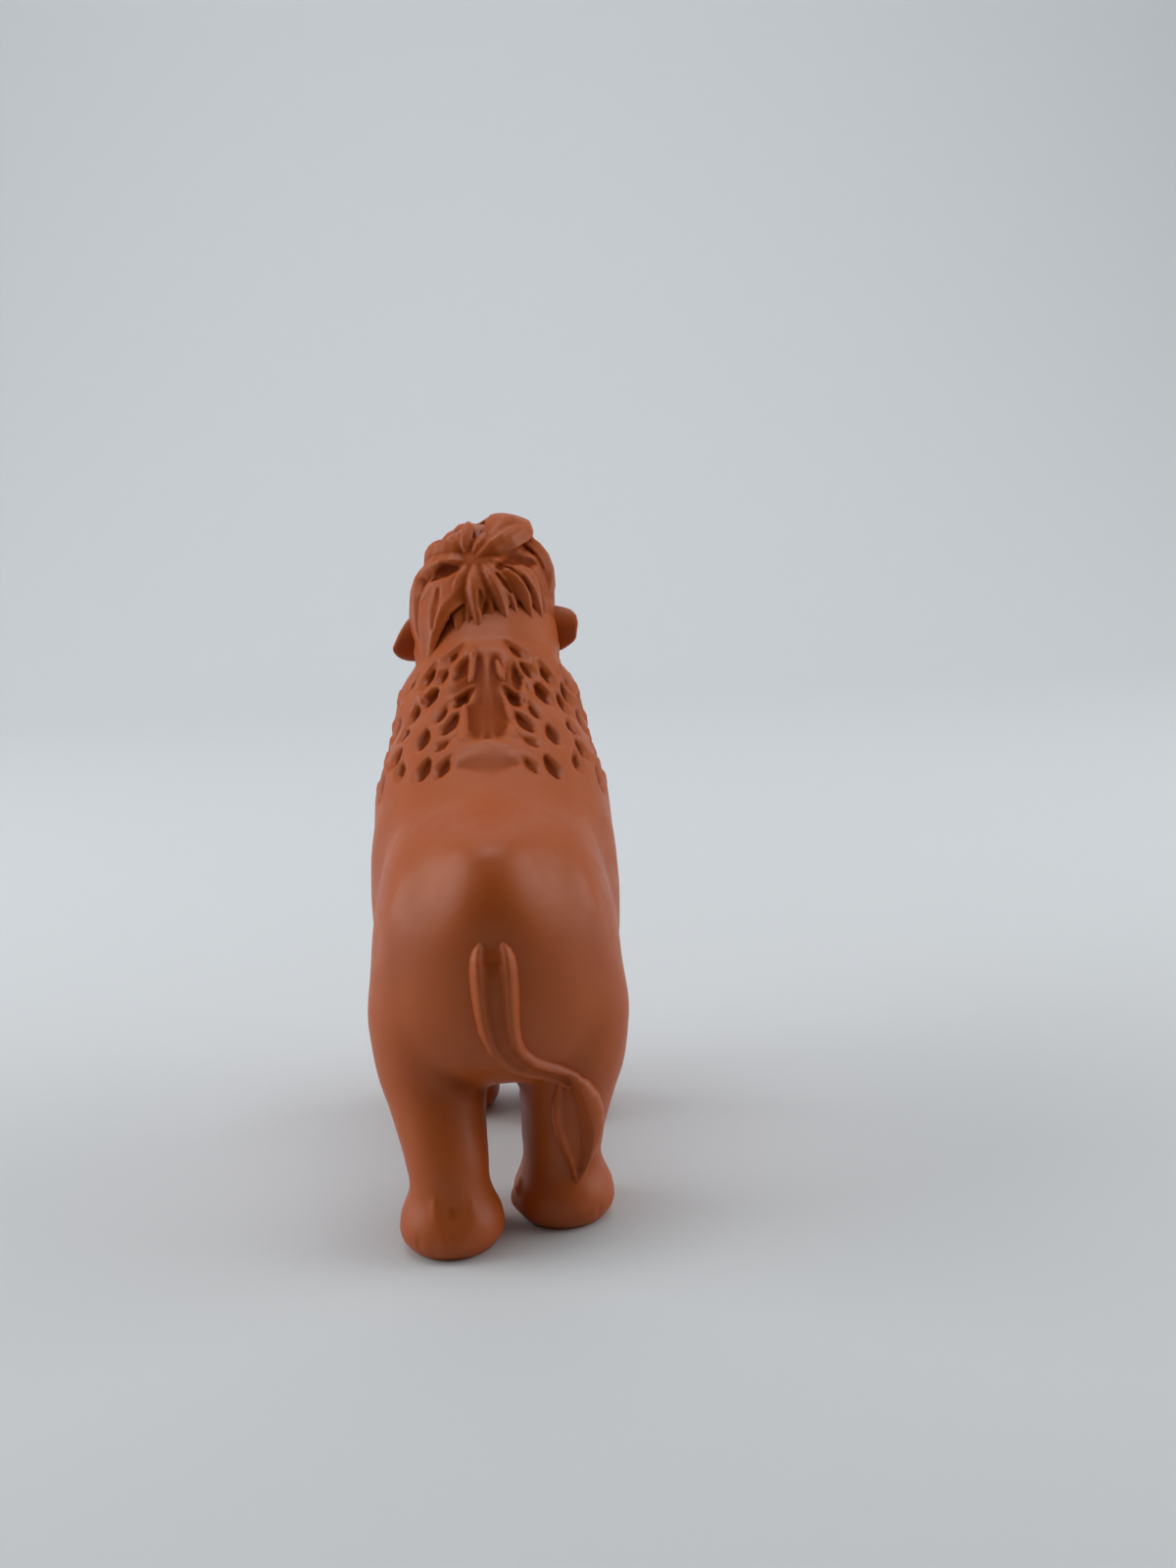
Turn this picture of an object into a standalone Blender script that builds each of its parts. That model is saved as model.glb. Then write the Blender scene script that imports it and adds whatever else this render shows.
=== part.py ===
"""Toy figure of a young woolly mammoth, standing with one hind foot stepped back.

Units are metres, +Z is up, the head faces +Y and +X is the animal's right side.
The soles stand on Z = 0 and the figure's bounding box is centred on the Z axis.

The figure is a set of solid vinyl mouldings glued together: a torso, four legs, a
head with its trunk, two ears, two short tusks, a tuft of hair locks and a tail.
Torso, legs and head share one modelled skin, so their outsides run into each other,
and flat seats divide it. Every moulding has a peg or a root that enters a socket.
"""

from math import cos, pi, radians, sin, tau
from typing import NamedTuple

import bmesh
import bpy
from mathutils import Matrix, Vector
from mathutils.bvhtree import BVHTree

FIGURE_NAME = "toy_mammoth_figure"

# Torso. Its rings stand across the length, counted from the rump forwards.
BODY_REAR = -0.0315
BODY_LENGTH = 0.0585
BODY_WIDTH = 0.0326
WITHERS_HEIGHT = 0.0595
BELLY_HEIGHT_SHARE = 0.316
BELLY_HEIGHT = BELLY_HEIGHT_SHARE * WITHERS_HEIGHT
TORSO_SQUARENESS = 2.5
# Place along the body, top as a share of the withers, underside as a share of the
# belly's height, and width as a share of the body's width.
TORSO_RING_SHARES = (
    (0.00, 0.720, 1.45, 0.36),
    (0.03, 0.780, 1.22, 0.64),
    (0.09, 0.825, 1.06, 0.85),
    (0.20, 0.845, 1.00, 0.95),
    (0.35, 0.870, 0.97, 0.98),
    (0.50, 0.935, 0.96, 0.99),
    (0.64, 1.005, 0.97, 0.97),
    (0.77, 1.045, 1.04, 0.91),
    (0.88, 1.010, 1.25, 0.80),
    (0.96, 0.900, 1.55, 0.62),
    (1.00, 0.760, 1.90, 0.36),
)

# Haunches and shoulders, one swelling on each side, whose upright size is a share of
# the withers: place along the body, height as a share of the withers, and distance
# from the middle as a share of the body's width.
HAUNCH_LENGTH = 0.024
HAUNCH_HEIGHT_SHARE = 0.521
HAUNCH_WIDTH = 0.0160
HAUNCH_PLACE_SHARES = (0.23, 0.555, 0.206)
SHOULDER_LENGTH = 0.019
SHOULDER_HEIGHT_SHARE = 0.571
SHOULDER_WIDTH = 0.0150
SHOULDER_PLACE_SHARES = (0.80, 0.68, 0.235)

# Neck, from inside the shoulders to inside the head. Its start is a place along the
# body and a height as a share of the withers. Each ring: place along the line between
# the two ends, width share and depth share of the neck.
NECK_START_SHARES = (0.70, 0.74)
NECK_WIDTH = 0.0252
NECK_DEPTH = 0.0225
NECK_RING_SHARES = (
    (0.00, 1.16, 1.22),
    (0.30, 1.06, 1.12),
    (0.64, 0.92, 0.90),
    (1.00, 0.74, 0.80),
)

# Head, held above the withers and past the front of the body. The dome is its main
# shape, and the face grows from it.
HEAD_PAST_BODY = 0.0035
HEAD_ABOVE_WITHERS = 0.0105
HEAD_CENTRE_Y = BODY_REAR + BODY_LENGTH + HEAD_PAST_BODY
HEAD_CENTRE_HEIGHT = WITHERS_HEIGHT + HEAD_ABOVE_WITHERS
HEAD_WIDTH = 0.0192
HEAD_LENGTH = 0.0212
HEAD_HEIGHT = 0.0236
# Swellings of the face: centre across, forwards and up from the dome's centre, then
# the three radii, all as shares of the head's width, length and height.
FACE_SWELLING_SHARES = (
    (0.00, 0.27, 0.02, 0.36, 0.26, 0.30),
    (0.26, 0.10, -0.30, 0.22, 0.30, 0.28),
    (-0.26, 0.10, -0.30, 0.22, 0.30, 0.28),
    (0.00, 0.30, -0.34, 0.32, 0.28, 0.24),
)
JAW_SHARES = (0.00, 0.17, -0.62, 0.25, 0.30, 0.17)

# Trunk. Its route is given forwards of the dome's centre as shares of the head's
# length, and in height as shares of the dome centre's height.
TRUNK_ROOT_RADIUS = 0.0050
TRUNK_TIP_RADIUS = 0.0023
TRUNK_ROUTE_SHARES = (
    (0.32, 0.87),
    (0.48, 0.76),
    (0.54, 0.64),
    (0.54, 0.52),
    (0.50, 0.41),
    (0.52, 0.335),
    (0.61, 0.300),
)

# Legs. Each stands on a padded foot and leans to its hip.
HIP_HEIGHT_SHARE = 0.571
HIP_HEIGHT = HIP_HEIGHT_SHARE * WITHERS_HEIGHT
HIND_FEET_APART = 0.0136
FRONT_FEET_APART = 0.0154
HIND_HIPS_APART = 0.0178
FRONT_HIPS_APART = 0.0168
HIND_HIP_SHARE = 0.215
FRONT_HIP_SHARE = 0.815
STEP_BACK = 0.0065
STEP_FORWARD = 0.0004
FORE_STEP_FORWARD = 0.0040
FORE_STEP_BACK = 0.0002
FOOT_LENGTH = 0.0140
FOOT_WIDTH = 0.0126
# Height as a share of the hip's height, lean from foot to hip, and the width and the
# length as shares of the foot's.
LEG_RING_SHARES = (
    (0.00, 0.00, 0.96, 0.96),
    (0.04, 0.00, 1.02, 1.02),
    (0.09, 0.00, 1.02, 1.02),
    (0.14, 0.00, 0.94, 0.96),
    (0.19, 0.00, 0.82, 0.86),
    (0.25, 0.00, 0.79, 0.84),
    (0.34, 0.14, 0.82, 0.88),
    (0.46, 0.46, 0.91, 1.00),
    (0.60, 0.80, 1.07, 1.16),
    (0.80, 0.97, 1.16, 1.36),
    (1.00, 1.00, 1.04, 1.36),
)

# Seats, pegs and sockets of the glued mouldings.
SEAT_GAP = 0.0003
SEAT_BELOW_BELLY = 0.0014
LEG_PEG_RADIUS = 0.0025
LEG_PEG_LENGTH = 0.0060
NECK_SEAT_BELOW_HEAD = 0.0032
NECK_SEAT_BEHIND_HEAD = 0.0105
NECK_SEAT_ANGLE = radians(58)
TRUNK_CLEARANCE = 0.0035
HEAD_PEG_RADIUS = 0.0036
HEAD_PEG_LENGTH = 0.0060
# The socket's middle, from the nape towards the throat, as a share of the neck.
HEAD_PEG_PLACE_SHARE = 0.50

# Ears, small cupped leaves low on the sides of the head.
EAR_WIDTH = 0.0062
EAR_HEIGHT = 0.0068
EAR_THICKNESS = 0.0013
EAR_CUP_DEPTH = 0.0013
EAR_PLACE_SHARES = (0.345, -0.16, -0.125)
EAR_SWEEP = radians(-14)
EAR_DROOP = radians(8)
# Place along the ear, and its height and thickness there, from root to tip.
EAR_RING_SHARES = (
    (0.00, 0.70, 0.90),
    (0.30, 0.96, 1.00),
    (0.58, 1.00, 0.95),
    (0.80, 0.80, 0.75),
    (0.94, 0.46, 0.50),
    (1.00, 0.18, 0.28),
)
# The peg starts inside the ear, this far along it.
EAR_PEG_PLACE_SHARE = 0.75
EAR_PEG_RADIUS = 0.00045
EAR_PEG_LENGTH = 0.0065

# Tusks, short ones of a young animal, whose roots sit in sockets beside the trunk.
TUSK_LENGTH = 0.0115
TUSK_RADIUS = 0.00120
TUSK_TIP_SHARE = 0.28
TUSK_ROOT_SHARES = (0.230, 0.26, -0.46)
# Route from the root as shares of the tusk's length: outwards, forwards and up.
TUSK_ROUTE_SHARES = (
    (0.00, 0.00, 0.00),
    (0.12, 0.20, -0.30),
    (0.22, 0.42, -0.56),
    (0.25, 0.66, -0.72),
    (0.20, 0.90, -0.74),
)

# Hair. Locks run over the dome from a whorl behind the crown.
LOCK_WIDTH = 0.0035
LOCK_THICKNESS = 0.0024
LOCK_SQUARENESS = 1.35
LOCK_ARCH_SHARE = 0.28
CAP_THICKNESS = 0.0008
CAP_RADIUS = 0.0094
CAP_CENTRE_SHARES = (-0.02, -0.36, 0.40)
HAIR_PEG_RADIUS = 0.0016
HAIR_PEG_LENGTH = 0.0040
HAIR_PEG_AZIMUTH = radians(0)
HAIR_PEG_ELEVATION = radians(62)
# Width and height along a lock, from root to tip.
LOCK_PROFILE_SHARES = (
    (0.00, 0.42, 0.50),
    (0.16, 0.80, 0.90),
    (0.36, 1.00, 1.00),
    (0.58, 0.94, 0.92),
    (0.78, 0.70, 0.72),
    (0.92, 0.38, 0.45),
    (1.00, 0.10, 0.16),
)


class Lock(NamedTuple):
    """One lock of hair.

    Root, middle and tip each have an azimuth and an elevation in degrees. The width
    is a share of the usual lock's, and the lift is a share of its thickness.
    """

    root: tuple[float, float]
    middle: tuple[float, float]
    tip: tuple[float, float]
    width_share: float
    lift_share: float


LOCKS = (
    Lock((-16, 50), (-54, 63), (-96, 36), 1.10, 0.3),
    Lock((-16, 42), (-52, 48), (-88, 14), 1.10, 0.1),
    Lock((-76, 38), (-76, 0), (-32, -19), 1.15, 0.1),
    Lock((-16, 36), (-36, 5), (-28, -17), 1.40, 0.4),
    Lock((-12, 36), (-20, 17), (-11, -4), 0.85, 0.1),
    Lock((-7, 36), (-9, 16), (-6, -3), 0.90, 0.4),
    Lock((-2, 36), (3, 18), (8, 2), 0.80, 0.1),
    Lock((3, 38), (16, 24), (22, 1), 0.90, 0.4),
    Lock((8, 40), (28, 28), (29, -2), 0.80, 0.1),
    Lock((14, 42), (42, 28), (40, -5), 1.00, 0.3),
    Lock((70, 64), (94, 32), (52, 1), 1.20, 0.0),
    Lock((-10, 44), (30, 86), (88, 56), 1.75, 0.95),
    Lock((-6, 44), (12, 62), (62, 56), 1.10, 0.5),
    Lock((0, 42), (30, 50), (66, 36), 1.00, 0.3),
    Lock((-14, 48), (-22, 64), (-34, 76), 0.95, 0.3),
    Lock((-15, 48), (-34, 56), (-60, 58), 1.00, 0.0),
    Lock((-170, 84), (-150, 70), (-166, 48), 1.35, 0.3),
    Lock((60, 80), (146, 72), (170, 44), 1.45, 0.4),
    Lock((96, 70), (124, 58), (142, 36), 1.25, 0.3),
    Lock((-112, 64), (-132, 56), (-142, 36), 1.25, 0.2),
)

# Tail. Its route lies on the rump and on the right hind leg: distance across as a
# share of the body's width, height as a share of the withers, radius there, and how
# many radii the middle lies under the skin.
TAIL_RADIUS = 0.0027
TAIL_ROUTE_SHARES = (
    (-0.004, 0.665, 0.75, 1.30),
    (-0.003, 0.645, 0.92, 0.70),
    (0.000, 0.600, 1.00, 0.32),
    (0.003, 0.545, 1.00, 0.28),
    (0.012, 0.490, 0.95, 0.28),
    (0.036, 0.425, 0.82, 0.28),
    (0.090, 0.378, 0.62, 0.28),
    (0.165, 0.352, 0.50, 0.28),
    (0.235, 0.330, 0.46, 0.28),
)
TAIL_PEG_RADIUS = 0.0013
TAIL_PEG_LENGTH = 0.0045
TUFT_WIDTH = 0.0064
TUFT_THICKNESS = 0.0036
# Across and height as above, then width and thickness along the leaf of hair.
TUFT_RING_SHARES = (
    (0.225, 0.350, 0.28, 0.45),
    (0.248, 0.315, 0.66, 0.80),
    (0.262, 0.270, 0.96, 1.00),
    (0.270, 0.220, 1.00, 1.00),
    (0.276, 0.175, 0.74, 0.80),
    (0.282, 0.140, 0.40, 0.52),
    (0.286, 0.118, 0.12, 0.22),
)

# Modelling values: overrun of cuts, the skin's grid and the faces round a shape.
OVERRUN = 0.100
SKIN_GRID = 0.0009
SKIN_SMOOTHING_STEPS = 6
SKIN_FACE_SHARE = 0.155
HAIR_GRID = 0.00030
HAIR_SMOOTHING_STEPS = 1
HAIR_FACE_SHARE = 0.085
RING_SIDES = 32
LOCK_SIDES = 8
PEG_SIDES = 16
BALL_DIVISIONS = 3
WELD_DISTANCE = 0.00001
CREASE_ANGLE = radians(35)

VINYL_COLOUR = (0.305, 0.094, 0.038, 1.0)
TUSK_COLOUR = (0.72, 0.62, 0.45, 1.0)
VINYL_ROUGHNESS = 0.48


def clear_scene():
    """Remove every object, so that the figure is alone in the file."""
    for obj in list(bpy.data.objects):
        bpy.data.objects.remove(obj, do_unlink=True)


def new_collection(name):
    group = bpy.data.collections.new(name)
    bpy.context.scene.collection.children.link(group)
    return group


def new_material(name, colour):
    material = bpy.data.materials.new(name)
    material.diffuse_color = colour
    material.use_nodes = True
    shader = material.node_tree.nodes["Principled BSDF"]
    shader.inputs["Base Color"].default_value = colour
    shader.inputs["Roughness"].default_value = VINYL_ROUGHNESS
    shader.inputs["Metallic"].default_value = 0.0
    return material


def helper_object(name, mesh):
    """An object that shapes others and isn't part of the figure itself."""
    obj = bpy.data.objects.new(name, mesh)
    HELPERS.objects.link(obj)
    obj.hide_render = True
    obj.display_type = "WIRE"
    return obj


def mesh_from(bm, name):
    bmesh.ops.recalc_face_normals(bm, faces=bm.faces)
    mesh = bpy.data.meshes.new(name)
    bm.to_mesh(mesh)
    bm.free()
    return mesh


def applied_mesh(obj):
    """The object's mesh as its modifiers shape it, in world space, with the helper removed."""
    graph = bpy.context.evaluated_depsgraph_get()
    mesh = bpy.data.meshes.new_from_object(obj.evaluated_get(graph))
    mesh.transform(obj.matrix_world)
    bpy.data.objects.remove(obj, do_unlink=True)
    return mesh


def merged(name, meshes, grid, smoothing_steps, face_share):
    """One closed skin round several shapes that cross each other, with even faces."""
    bm = bmesh.new()
    for mesh in meshes:
        bm.from_mesh(mesh)
    joined = bpy.data.meshes.new(name)
    bm.to_mesh(joined)
    bm.free()
    obj = helper_object(name, joined)
    merge = obj.modifiers.new("merge", "REMESH")
    merge.mode = "VOXEL"
    merge.voxel_size = grid
    relax = obj.modifiers.new("relax", "SMOOTH")
    relax.factor = 0.5
    relax.iterations = smoothing_steps
    fewer = obj.modifiers.new("fewer_faces", "DECIMATE")
    fewer.ratio = face_share
    return applied_mesh(obj)


def combined(mesh, others, operation):
    """The mesh after an exact union, difference or intersection with each of the others."""
    obj = helper_object("worked_piece", mesh.copy())
    tools = [helper_object("tool", other) for other in others]
    for tool in tools:
        cut = obj.modifiers.new("cut", "BOOLEAN")
        cut.operation = operation
        cut.solver = "EXACT"
        cut.object = tool
    result = applied_mesh(obj)
    for tool in tools:
        bpy.data.objects.remove(tool, do_unlink=True)
    return result


def union(mesh, others):
    return combined(mesh, others, "UNION")


def minus(mesh, others):
    return combined(mesh, others, "DIFFERENCE")


def common(mesh, others):
    return combined(mesh, others, "INTERSECT")


def fattened(mesh, distance):
    """A copy whose surface stands the given distance outside the mesh."""
    obj = helper_object("fattened", mesh.copy())
    grow = obj.modifiers.new("grow", "DISPLACE")
    grow.direction = "NORMAL"
    grow.mid_level = 0.0
    grow.strength = distance
    return applied_mesh(obj)


def ring(centre, across, upright, half_width, half_height, squareness=2.0, sides=RING_SIDES):
    """Points of a superellipse round a centre, in the plane of two unit directions."""
    points = []
    for index in range(sides):
        angle = tau * index / sides
        c, s = cos(angle), sin(angle)
        x = abs(c) ** (2.0 / squareness) * (1 if c >= 0 else -1)
        z = abs(s) ** (2.0 / squareness) * (1 if s >= 0 else -1)
        points.append(centre + across * (half_width * x) + upright * (half_height * z))
    return points


def loft(name, rings):
    """A closed solid through rings that have as many points as each other."""
    bm = bmesh.new()
    loops = [[bm.verts.new(point) for point in points] for points in rings]
    sides = len(loops[0])
    for near, far in zip(loops, loops[1:]):
        for index in range(sides):
            after = (index + 1) % sides
            bm.faces.new((near[index], near[after], far[after], far[index]))
    bm.faces.new(loops[0])
    bm.faces.new(loops[-1])
    return mesh_from(bm, name)


def ellipsoid(name, centre, radii):
    bm = bmesh.new()
    bmesh.ops.create_icosphere(bm, subdivisions=BALL_DIVISIONS, radius=1.0)
    bmesh.ops.transform(
        bm, matrix=Matrix.Translation(centre) @ Matrix.Diagonal((*radii, 1.0)), verts=bm.verts
    )
    return mesh_from(bm, name)


def block(name, corner, opposite):
    """A box between two opposite corners."""
    bm = bmesh.new()
    bmesh.ops.create_cube(bm, size=1.0)
    size = opposite - corner
    middle = (corner + opposite) / 2.0
    bmesh.ops.transform(
        bm, matrix=Matrix.Translation(middle) @ Matrix.Diagonal((*size, 1.0)), verts=bm.verts
    )
    return mesh_from(bm, name)


def peg(name, base, direction, radius, length, start=0.0):
    """A round peg along a direction, from the start distance to the length past its base."""
    bm = bmesh.new()
    bmesh.ops.create_cone(
        bm,
        cap_ends=True,
        segments=PEG_SIDES,
        radius1=radius,
        radius2=radius,
        depth=length - start,
    )
    turn = direction.to_track_quat("Z", "Y").to_matrix().to_4x4()
    middle = base + direction * ((length + start) / 2.0)
    bmesh.ops.transform(bm, matrix=Matrix.Translation(middle) @ turn, verts=bm.verts)
    return mesh_from(bm, name)


def tube(name, points, radii):
    """A tapered round tube through the points, with filled ends, as a mesh."""
    curve = bpy.data.curves.new(name, "CURVE")
    curve.dimensions = "3D"
    curve.bevel_depth = 1.0
    curve.bevel_resolution = 3
    curve.use_fill_caps = True
    curve.resolution_u = 3
    spline = curve.splines.new("BEZIER")
    spline.bezier_points.add(len(points) - 1)
    for point, place, radius in zip(spline.bezier_points, points, radii):
        point.co = place
        point.radius = radius
        point.handle_left_type = "AUTO"
        point.handle_right_type = "AUTO"
    mesh = applied_mesh(helper_object(name, curve))
    bm = bmesh.new()
    bm.from_mesh(mesh)
    bmesh.ops.remove_doubles(bm, verts=bm.verts, dist=WELD_DISTANCE)
    return mesh_from(bm, name)


def along_body(share):
    return BODY_REAR + share * BODY_LENGTH


def from_head(share_x, share_y, share_z):
    """A place given in shares of the head's width, length and height from the dome's centre."""
    offset = Vector((share_x * HEAD_WIDTH, share_y * HEAD_LENGTH, share_z * HEAD_HEIGHT))
    return HEAD_CENTRE + offset


def torso_shape():
    rings = []
    for place, top_share, under_share, width_share in TORSO_RING_SHARES:
        top = top_share * WITHERS_HEIGHT
        under = under_share * BELLY_HEIGHT
        centre = Vector((0, along_body(place), (top + under) / 2.0))
        half_width = width_share * BODY_WIDTH / 2.0
        rings.append(ring(centre, ACROSS, UP, half_width, (top - under) / 2.0, TORSO_SQUARENESS))
    return loft("torso_shape", rings)


def swellings():
    """Haunches and shoulders, which stand out from the torso above the legs."""
    kinds = (
        (HAUNCH_WIDTH, HAUNCH_LENGTH, HAUNCH_HEIGHT_SHARE, HAUNCH_PLACE_SHARES),
        (SHOULDER_WIDTH, SHOULDER_LENGTH, SHOULDER_HEIGHT_SHARE, SHOULDER_PLACE_SHARES),
    )
    meshes = []
    for width, length, size_share, (place, height_share, across_share) in kinds:
        height = size_share * WITHERS_HEIGHT
        for side in (-1, 1):
            x = side * across_share * BODY_WIDTH
            centre = Vector((x, along_body(place), height_share * WITHERS_HEIGHT))
            radii = (width / 2.0, length / 2.0, height / 2.0)
            meshes.append(ellipsoid("swelling", centre, radii))
    return meshes


def neck_shape():
    place, height_share = NECK_START_SHARES
    start = Vector((0, along_body(place), height_share * WITHERS_HEIGHT))
    direction = (HEAD_CENTRE - start).normalized()
    upright = ACROSS.cross(direction)
    rings = []
    for place, width_share, depth_share in NECK_RING_SHARES:
        centre = start.lerp(HEAD_CENTRE, place)
        half_width = width_share * NECK_WIDTH / 2.0
        half_depth = depth_share * NECK_DEPTH / 2.0
        rings.append(ring(centre, ACROSS, upright, half_width, half_depth))
    return loft("neck_shape", rings)


def head_shapes():
    meshes = [ellipsoid("dome", HEAD_CENTRE, Vector((HEAD_WIDTH, HEAD_LENGTH, HEAD_HEIGHT)) / 2.0)]
    for shares in (*FACE_SWELLING_SHARES, JAW_SHARES):
        radii = (shares[3] * HEAD_WIDTH, shares[4] * HEAD_LENGTH, shares[5] * HEAD_HEIGHT)
        meshes.append(ellipsoid("face_swelling", from_head(*shares[:3]), radii))
    return meshes


def trunk_shape():
    points = []
    radii = []
    last = len(TRUNK_ROUTE_SHARES) - 1
    for index, (forward_share, height_share) in enumerate(TRUNK_ROUTE_SHARES):
        y = HEAD_CENTRE_Y + forward_share * HEAD_LENGTH
        points.append(Vector((0, y, height_share * HEAD_CENTRE_HEIGHT)))
        radii.append(TRUNK_ROOT_RADIUS + (TRUNK_TIP_RADIUS - TRUNK_ROOT_RADIUS) * index / last)
    return tube("trunk_shape", points, radii)


class Leg(NamedTuple):
    """One leg: its name, the middle of its foot and the middle of its hip, both in plan."""

    name: str
    foot: Vector
    hip: Vector

    def centre(self, height, lean):
        place = self.foot.lerp(self.hip, lean)
        return Vector((place.x, place.y, height))

    def shape(self):
        rings = []
        for height_share, lean, width_share, length_share in LEG_RING_SHARES:
            centre = self.centre(height_share * HIP_HEIGHT, lean)
            half_width = width_share * FOOT_WIDTH / 2.0
            half_length = length_share * FOOT_LENGTH / 2.0
            rings.append(ring(centre, ACROSS, FORWARD, half_width, half_length))
        return loft(self.name, rings)

    def lean_at(self, height):
        """The lean of the leg at a height, read between its rings."""
        share = height / HIP_HEIGHT
        for low, high in zip(LEG_RING_SHARES, LEG_RING_SHARES[1:]):
            if share <= high[0]:
                part = (share - low[0]) / (high[0] - low[0])
                return low[1] + part * (high[1] - low[1])
        return 1.0


def make_legs():
    hind_y = along_body(HIND_HIP_SHARE)
    front_y = along_body(FRONT_HIP_SHARE)
    layout = (
        ("leg_hind_left", -1, HIND_FEET_APART, HIND_HIPS_APART, hind_y, -STEP_BACK),
        ("leg_hind_right", 1, HIND_FEET_APART, HIND_HIPS_APART, hind_y, STEP_FORWARD),
        ("leg_front_left", -1, FRONT_FEET_APART, FRONT_HIPS_APART, front_y, FORE_STEP_FORWARD),
        ("leg_front_right", 1, FRONT_FEET_APART, FRONT_HIPS_APART, front_y, -FORE_STEP_BACK),
    )
    legs = []
    for name, side, feet_apart, hips_apart, hip_y, step in layout:
        foot = Vector((side * feet_apart / 2.0, hip_y + step, 0))
        hip = Vector((side * hips_apart / 2.0, hip_y, 0))
        legs.append(Leg(name, foot, hip))
    return legs


def make_skin(legs):
    """The outside that torso, legs, head and trunk share, as one even closed mesh."""
    shapes = [torso_shape(), neck_shape(), trunk_shape(), *swellings(), *head_shapes()]
    shapes += [leg.shape() for leg in legs]
    mesh = merged("skin", shapes, SKIN_GRID, SKIN_SMOOTHING_STEPS, SKIN_FACE_SHARE)
    floor = block(
        "floor", Vector((-OVERRUN, -OVERRUN, -OVERRUN)), Vector((OVERRUN, OVERRUN, SOLE_TRIM))
    )
    return minus(mesh, [floor])


def head_space(shift):
    """Everything ahead of the neck seat, moved along its normal, and the trunk's own space."""
    corner = Vector((-OVERRUN, -OVERRUN, 0))
    opposite = Vector((OVERRUN, OVERRUN, OVERRUN))
    ahead = block("neck_side", corner, opposite)
    turn = NECK_NORMAL.to_track_quat("Z", "Y").to_matrix().to_4x4()
    ahead.transform(Matrix.Translation(NECK_SEAT + NECK_NORMAL * shift) @ turn)
    chest = along_body(1.0) + TRUNK_CLEARANCE
    trunk_side = block("trunk_side", Vector((-OVERRUN, chest, -OVERRUN)), opposite)
    return union(ahead, [trunk_side])


def leg_block(leg, top):
    """The space of one leg, below the given height and on its own side and end of the body."""
    side = 1 if leg.foot.x > 0 else -1
    end = 1 if leg.hip.y > MIDDLE_Y else -1
    inner = Vector((0, MIDDLE_Y, top))
    outer = Vector((side * OVERRUN, MIDDLE_Y + end * OVERRUN, -OVERRUN))
    low = Vector(map(min, inner, outer))
    high = Vector(map(max, inner, outer))
    return block("leg_space", low, high)


def surface_from_behind(tree, x, z):
    """The skin's point and outward normal that a line along +Y meets first."""
    hit, normal, _, _ = tree.ray_cast(Vector((x, -OVERRUN, z)), FORWARD)
    return hit, normal


def surface_from_head(tree, azimuth, elevation):
    """The skin's point and normal seen from outside towards the dome's centre.

    Azimuth counts from straight behind towards the animal's right.
    """
    direction = Vector(
        (cos(elevation) * sin(azimuth), -cos(elevation) * cos(azimuth), sin(elevation))
    )
    hit, normal, _, _ = tree.ray_cast(HEAD_CENTRE + direction * OVERRUN, -direction)
    return hit, normal


def lock_shape(tree, lock):
    """A flattened lock of hair that follows the dome and rises off it towards its tip."""
    centres = []
    normals = []
    for place, _, _ in LOCK_PROFILE_SHARES:
        near, far = (1 - place) ** 2, place**2
        bend = 2 * place * (1 - place)
        azimuth = near * lock.root[0] + bend * lock.middle[0] + far * lock.tip[0]
        elevation = near * lock.root[1] + bend * lock.middle[1] + far * lock.tip[1]
        hit, normal = surface_from_head(tree, radians(azimuth), radians(elevation))
        lift = LOCK_THICKNESS * (LOCK_ARCH_SHARE * sin(pi * place) + lock.lift_share * place)
        centres.append(hit + normal * lift)
        normals.append(normal)
    rings = []
    last = len(centres) - 1
    for index, (_, width_share, height_share) in enumerate(LOCK_PROFILE_SHARES):
        forward = centres[min(index + 1, last)] - centres[max(index - 1, 0)]
        across = forward.cross(normals[index]).normalized()
        upright = across.cross(forward).normalized()
        half_width = width_share * lock.width_share * LOCK_WIDTH / 2.0
        half_height = height_share * LOCK_THICKNESS / 2.0
        rings.append(
            ring(
                centres[index],
                across,
                upright,
                half_width,
                half_height,
                LOCK_SQUARENESS,
                LOCK_SIDES,
            )
        )
    return loft("lock", rings)


def make_hair(tree, skin, clearance_skin):
    """The hair tuft with its peg, and the socket that the head needs for it."""
    cap = common(
        fattened(skin, CAP_THICKNESS + SEAT_GAP),
        [ellipsoid("cap_space", from_head(*CAP_CENTRE_SHARES), (CAP_RADIUS,) * 3)],
    )
    shapes = [cap, *[lock_shape(tree, lock) for lock in LOCKS]]
    hair = merged("hair", shapes, HAIR_GRID, HAIR_SMOOTHING_STEPS, HAIR_FACE_SHARE)
    hair = minus(hair, [clearance_skin, ear_leaf(-1, SEAT_GAP), ear_leaf(1, SEAT_GAP)])
    hit, normal = surface_from_head(tree, HAIR_PEG_AZIMUTH, HAIR_PEG_ELEVATION)
    plug = peg("hair_peg", hit, -normal, HAIR_PEG_RADIUS, HAIR_PEG_LENGTH, -CAP_THICKNESS)
    socket = peg(
        "hair_socket",
        hit,
        -normal,
        HAIR_PEG_RADIUS + SEAT_GAP,
        HAIR_PEG_LENGTH + SEAT_GAP,
        -CAP_THICKNESS,
    )
    return union(hair, [plug]), socket


def ear_frame(side):
    """The ear's root, and its directions outwards, forwards and up."""
    place = from_head(side * EAR_PLACE_SHARES[0], EAR_PLACE_SHARES[1], EAR_PLACE_SHARES[2])
    turn = Matrix.Rotation(side * EAR_SWEEP, 3, "Z") @ Matrix.Rotation(side * EAR_DROOP, 3, "Y")
    return place, turn @ (ACROSS * side), turn @ FORWARD, turn @ UP


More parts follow.
